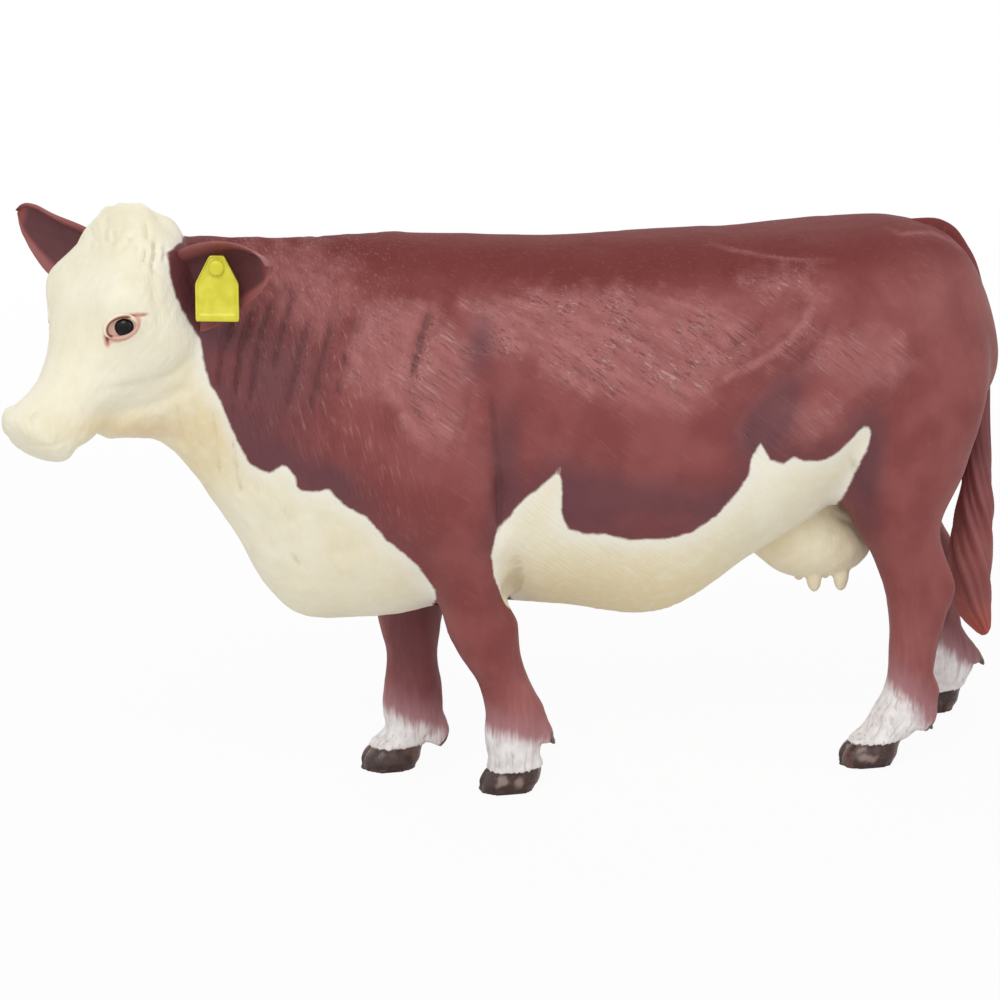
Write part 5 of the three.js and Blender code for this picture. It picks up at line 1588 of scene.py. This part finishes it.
# %% A material's node tree
class Recipe:
    """A material's node tree, with its Principled shader ready."""

    def __init__(self, name):
        self.material = bpy.data.materials.new(name)
        self.material.use_nodes = True
        self.tree = self.material.node_tree
        self.shader = self.tree.nodes["Principled BSDF"]

    def node(self, kind, settings=None, sockets=None, output=0):
        """A node of that kind: settings first, then each socket's value or link."""
        made = self.tree.nodes.new(kind)
        for key, value in (settings or {}).items():
            setattr(made, key, value)
        for key, value in (sockets or {}).items():
            if isinstance(value, Value):
                self.tree.links.new(value.socket, made.inputs[key])
            else:
                made.inputs[key].default_value = value
        return Value(self, made.outputs[output])

    def column(self, name):
        """A named point value of the mesh."""
        return self.node("ShaderNodeAttribute", {"attribute_name": name}, output=2)

    def step(self, value, low, high):
        """0 below low, 1 above high, smooth between."""
        return self.node("ShaderNodeMapRange", {"interpolation_type": "SMOOTHSTEP"},
                         {0: value, 1: low, 2: high})

    def blend(self, factor, first, second):
        """A colour between two, by Mix."""
        return self.node("ShaderNodeMix", {"data_type": "RGBA", "clamp_factor": True},
                         {0: factor, 6: first, 7: second}, 2)

    def layered(self, base, layers):
        """A colour with others laid over it in turn, each by its own share."""
        color = paint(base)
        for share, code in layers:
            color = self.blend(share, color, paint(code))
        return color

    def millimetres(self):
        """Object coordinates in millimetres."""
        place = self.node("ShaderNodeTexCoord", output=3)
        return self.node("ShaderNodeVectorMath", {"operation": "SCALE"}, {0: place, 3: 1000.0})

    def turned(self, place, turn_deg, lengths):
        """Coordinates turned down from the length of the toy by an angle and then divided by
        a length along each axis, so that a pattern is drawn out along the turned axis."""
        return self.node("ShaderNodeMapping", {"vector_type": "TEXTURE"},
                         {0: place, 2: (0.0, math.radians(turn_deg), 0.0), 3: lengths})

    def grain(self, place, scale, detail=2.0, roughness=0.5):
        """Noise from 0 to 1."""
        return self.node("ShaderNodeTexNoise", {"noise_dimensions": "3D"},
                         {"Vector": place, "Scale": scale, "Detail": detail,
                          "Roughness": roughness})

    def bump(self, height, strength, distance, under=None):
        """A bump from a height, on top of another one."""
        sockets = {"Height": height, "Strength": strength, "Distance": distance}
        if under is not None:
            sockets["Normal"] = under
        return self.node("ShaderNodeBump", {}, sockets)

    def wear(self, **sockets):
        """Sets or links the shader's sockets."""
        names = {"color": "Base Color", "roughness": "Roughness", "coat": "Coat Weight",
                 "coat_roughness": "Coat Roughness", "normal": "Normal",
                 "specular": "Specular IOR Level"}
        for key, value in sockets.items():
            socket = self.shader.inputs[names[key]]
            if isinstance(value, Value):
                self.tree.links.new(value.socket, socket)
            else:
                socket.default_value = value

    def cover(self, pieces):
        """Gives the material to pieces."""
        for piece in pieces:
            piece.data.materials.append(self.material)

# %% Display colours
def paint(code):
    """A display colour such as #9a6160 as the linear numbers that a shader takes."""
    shares = [int(code[k:k + 2], 16) / 255 for k in (1, 3, 5)]
    return (*[s / 12.92 if s <= 0.04045 else ((s + 0.055) / 1.055) ** 2.4 for s in shares], 1.0)

# %% [markdown]
# ## The painted hide
# One material paints the whole animal. The plastic is sprayed red-brown over cream, the
# grooves are darker, the raised hair is dry-brushed with a paler pink that also paints in the
# highlights, and a purple shade, partly sprayed and partly painted shade, darkens the hollows.
# The upward faces of the back get a deeper red as painted shade. Hooves are a glossy dark
# brown with painted glints, and the feet are white under a pale mist that softens the edge
# of the red.

# %% The hide, from the mesh's own columns
hide = Recipe("painted_hide")
place = hide.millimetres()
coat_mm, hoof_mm, white_mm = (hide.column(name) for name in ("coat", "hoof", "white"))
shade_part, lit_part, hollow_mm = (hide.column(name) for name in ("shade", "lit", "hollow"))
warm_part, pink_part, lay_part = (hide.column(name) for name in ("warm", "pink", "lay"))
top_shade_part, ginger_part, neck_part = (hide.column(name) for name in
                                    ("top_red", "ginger", "neck"))

broad = hide.grain(place, 0.16, 3.0)
middling = hide.grain(place, 0.8, 3.0)
small = hide.grain(place, 3.4, 2.0)
along_flank = hide.grain(hide.turned(place, 38.0, (6.5, 0.40, 0.34)), 1.0, 2.0, 0.55)
crossing = hide.grain(hide.turned(place, 54.0, (2.4, 0.30, 0.24)), 1.0, 1.0, 0.5)
along_neck = hide.grain(hide.turned(place, 76.0, (3.4, 0.36, 0.30)), 1.0, 2.0, 0.5)
down_leg = hide.grain(hide.turned(place, 0.0, (0.53, 0.53, 4.5)), 1.0, 3.0, 0.6)
combed_hair = hide.node("ShaderNodeMix", {"data_type": "FLOAT"},
                        {0: lay_part, 2: along_flank, 3: down_leg})
# strokes paint highlights along the combed hair, and troughs paint shade beside them; both also
# drive the bump
strokes = hide.step(along_flank, 0.56, 0.66) + hide.step(crossing, 0.60, 0.68) * 0.6
cluster = hide.step(hide.grain(place, 0.22, 1.0), 0.40, 0.60)
strokes = strokes * (1.0 - lay_part) * lit_part * (0.25 + cluster * 0.75)
troughs = hide.step(1.0 - along_flank, 0.60, 0.70) * (1.0 - lay_part) * lit_part \
    * (0.3 + cluster * 0.7)
strokes = strokes + hide.step(along_neck, 0.56, 0.68) * neck_part * 0.4
troughs = troughs + hide.step(1.0 - along_neck, 0.56, 0.68) * neck_part * 0.4

ruffled = coat_mm + (middling - 0.5) * 0.45 + (small - 0.5) * 0.15
is_red = hide.step(ruffled, -0.22, 0.22)
ridge = hide.step(0.0 - hollow_mm + (combed_hair - 0.5) * 0.10, -0.02, 0.07)
groove = hide.step(hollow_mm + (combed_hair - 0.5) * -0.05, 0.03, 0.16)
print("hide patterns from", len(hide.tree.nodes), "nodes")

# %% The hide's colours, laid over each other
mist = hide.step(white_mm + (combed_hair - 0.5) * 1.8, -6.0, 0.6)
snow = hide.step(white_mm + (combed_hair - 0.5) * 3.0, -1.4, 1.2)
red = hide.layered("#803c3a", [
    (hide.step(broad, 0.35, 0.65), "#8e4a47"),
    # painted shade on the back's upward faces
    (top_shade_part * 0.85, "#6a2624"),
    # dry-brushing and painted highlight
    (lit_part * (ridge * 0.30 + cluster * 0.10 + 0.42), "#b27270"),
    # painted highlights along the hair strokes, and painted shade in the troughs
    (strokes * 0.55, "#d3a29c"),
    (troughs * 0.32, "#6c3436"),
    (hide.step(combed_hair, 0.55, 0.75) * 0.20, "#a5655f"),
    # sprayed purple, and painted shade in the hollows and on the inner legs
    (shade_part * 0.8, "#5d363e"),
    (ginger_part * 0.75, "#b04a38"),
    (groove * 0.55, "#54292a"),
    (mist * 0.75, "#b4858b"),
])
cream = hide.layered("#f6f0da", [
    (hide.step(broad, 0.3, 0.7), "#efe7cb"),
    (warm_part * 0.75, "#e8d3a0"),
    (hide.step(middling, 0.45, 0.75) * 0.25, "#faf7e8"),
    (hide.step(ruffled, -2.4, -0.2) * 0.55, "#f3efe6"),
    (groove * 0.45, "#b8a074"),
    (hide.step(pink_part, 0.0, 1.0) * 0.8, "#d48f80"),
    # the dark brown lid lines: painted shadow at the lids' edges
    (hide.step(pink_part, 1.0, 1.8) * 0.9, "#6e3830"),
])
foot = hide.layered("#f2efee", [
    (hide.step(middling, 0.3, 0.7), "#e2dbda"),
    # grey painted shade in the grooves of the white hair
    (groove * 0.7, "#a08d88"),
    (hide.step(0.0 - combed_hair, -0.46, -0.34) * 0.5, "#b5a8a5"),
])
red = hide.blend(snow, red, foot)
horn_color = hide.layered("#371d18", [
    (hide.step(hide.grain(place, 0.34, 1.0), 0.50, 0.62) * 0.6, "#6b4940"),
    # painted glints on the hooves
    (lit_part * 0.7, "#a08880"),
    (hide.step(small, 0.55, 0.75) * 0.15, "#a58d7f"),
])
is_hoof = hide.step(hoof_mm + (small - 0.5) * 0.3, -0.08, 0.10)

color = hide.blend(is_red, cream, red)
color = hide.blend(is_hoof, color, horn_color)
roughness = 0.50 + (middling - 0.5) * 0.16 - is_hoof * 0.24 - lit_part * 0.05 \
    + top_shade_part * 0.30
relief = hide.bump(combed_hair, 0.55, 0.00014)
relief = hide.bump(strokes - troughs, 1.0, 0.00012, relief)
relief = hide.bump(hide.grain(place, 5.0, 3.0), 0.25, 0.00005, relief)
hide.wear(color=color, roughness=roughness, normal=relief, coat=is_hoof * 0.5,
          coat_roughness=0.25, specular=0.36)
hide.cover(hide_pieces)
print("painted hide on", len(hide_pieces), "pieces with", len(hide.tree.nodes), "nodes")

# %% The eyes' glaze and the tag's plastic
glaze = Recipe("glazed_eye")
spot_noise = glaze.grain(glaze.millimetres(), 1.2, 2.0)
glaze.wear(color=glaze.blend(glaze.step(spot_noise, 0.4, 0.7), paint("#080505"),
                             paint("#150c0a")),
           roughness=0.16, specular=0.28,
           normal=glaze.bump(spot_noise, 0.05, 0.00003))
glaze.cover(eye_pieces)

plastic = Recipe("yellow_tag_plastic")
place = plastic.millimetres()
mottle = plastic.grain(place, 0.7, 3.0)
speck = plastic.grain(place, 6.0, 3.0)
yellow = plastic.blend(plastic.step(mottle, 0.35, 0.7), paint("#d6cd28"), paint("#e3db42"))
yellow = plastic.blend(plastic.step(speck, 0.62, 0.8) * 0.25, yellow, paint("#bdb02a"))
plastic.wear(color=yellow, roughness=0.30 + speck * 0.15, coat=0.2, coat_roughness=0.2,
             normal=plastic.bump(speck, 0.12, 0.00004))
plastic.cover((tag, stud))
print("glaze on", len(eye_pieces), "eyes, plastic on the tag and its stud")

# %% [markdown]
# ## Floor, lamps and world
# The toy stands on a plain pale floor that fades to white with the distance, so no horizon
# shows. One broad lamp stands high to the left of the camera, a weaker one fills the right,
# a third lights the back from behind, and the white world lifts the shadows, as a light
# tent does.

# %% The stage
FLOOR_RADIUS_M, FLOOR_RINGS, FLOOR_SIDES = 3.0, 30, 64
ring_radius = np.linspace(0.0, FLOOR_RADIUS_M, FLOOR_RINGS + 1)[1:, None]
ring_angle = turns(FLOOR_SIDES)
floor_x = ring_radius * np.cos(ring_angle)
floor_points = np.stack([floor_x, ring_radius * np.sin(ring_angle), np.zeros_like(floor_x)], -1)
floor_faces = grid_faces(FLOOR_RINGS, FLOOR_SIDES)[:, ::-1].tolist() \
    + [list(range(FLOOR_SIDES))]
floor = linked("floor", new_mesh("floor", floor_points.reshape(-1, 3), floor_faces))

ground = Recipe("pale_floor")
spread = ground.node("ShaderNodeVectorMath", {"operation": "LENGTH"},
                     {0: ground.node("ShaderNodeTexCoord", output=3)}, 1)
seen = ground.node("ShaderNodeLightPath", output=0)
ground.wear(color=(0.82, 0.82, 0.82, 1.0), roughness=0.85, specular=0.1)
glow = ground.node("ShaderNodeEmission", {}, {"Color": (1.0, 1.0, 1.0, 1.0), "Strength": 1.0})
fade = (0.93 + 0.07 * ground.step(spread, 0.10, 0.42)) * seen
mixed = ground.node("ShaderNodeMixShader", {}, {0: fade, 1: Value(
    ground, ground.shader.outputs[0]), 2: glow})
ground.tree.links.new(mixed.socket, ground.tree.nodes["Material Output"].inputs[0])
ground.cover([floor])
print("floor of", len(floor_faces), "faces")

# %% The white world and the lamps
world = bpy.data.worlds.new("light_tent")
world.use_nodes = True
bpy.context.scene.world = world
tree = world.node_tree
path = tree.nodes.new("ShaderNodeLightPath")
either = tree.nodes.new("ShaderNodeMath")
either.operation, either.use_clamp = "ADD", True
tree.links.new(path.outputs["Is Camera Ray"], either.inputs[0])
tree.links.new(path.outputs["Is Glossy Ray"], either.inputs[1])
level_node = tree.nodes.new("ShaderNodeMapRange")
level_node.inputs[3].default_value, level_node.inputs[4].default_value = 0.62, 1.0
tree.links.new(either.outputs[0], level_node.inputs[0])
background = tree.nodes["Background"]
background.inputs["Color"].default_value = (1.0, 1.0, 1.0, 1.0)
tree.links.new(level_node.outputs[0], background.inputs["Strength"])

LAMP_AIM_M = (0.0, 0.0, 0.03)
LAMPS = {
    # place and size of the square in metres, power in watts
    "key": ((-0.45, -0.75, 0.85), 0.7, 5.2),
    "fill": ((0.8, -0.6, 0.35), 0.8, 1.2),
    "rim": ((0.2, 0.9, 0.7), 0.8, 1.6),
}
for name, (place_m, size, power) in LAMPS.items():
    data = bpy.data.lights.new(name, "AREA")
    data.size, data.energy = size, power
    made = linked(name, data)
    back = unit(np.array(place_m) - LAMP_AIM_M)
    right = unit(np.cross(upright, back))
    made.matrix_world = standing(right, np.cross(back, right), back, place_m)
bpy.context.scene.view_settings.view_transform = "Standard"
print("lamps:", ", ".join(LAMPS))

# %% Finish
bpy.context.view_layer.update()
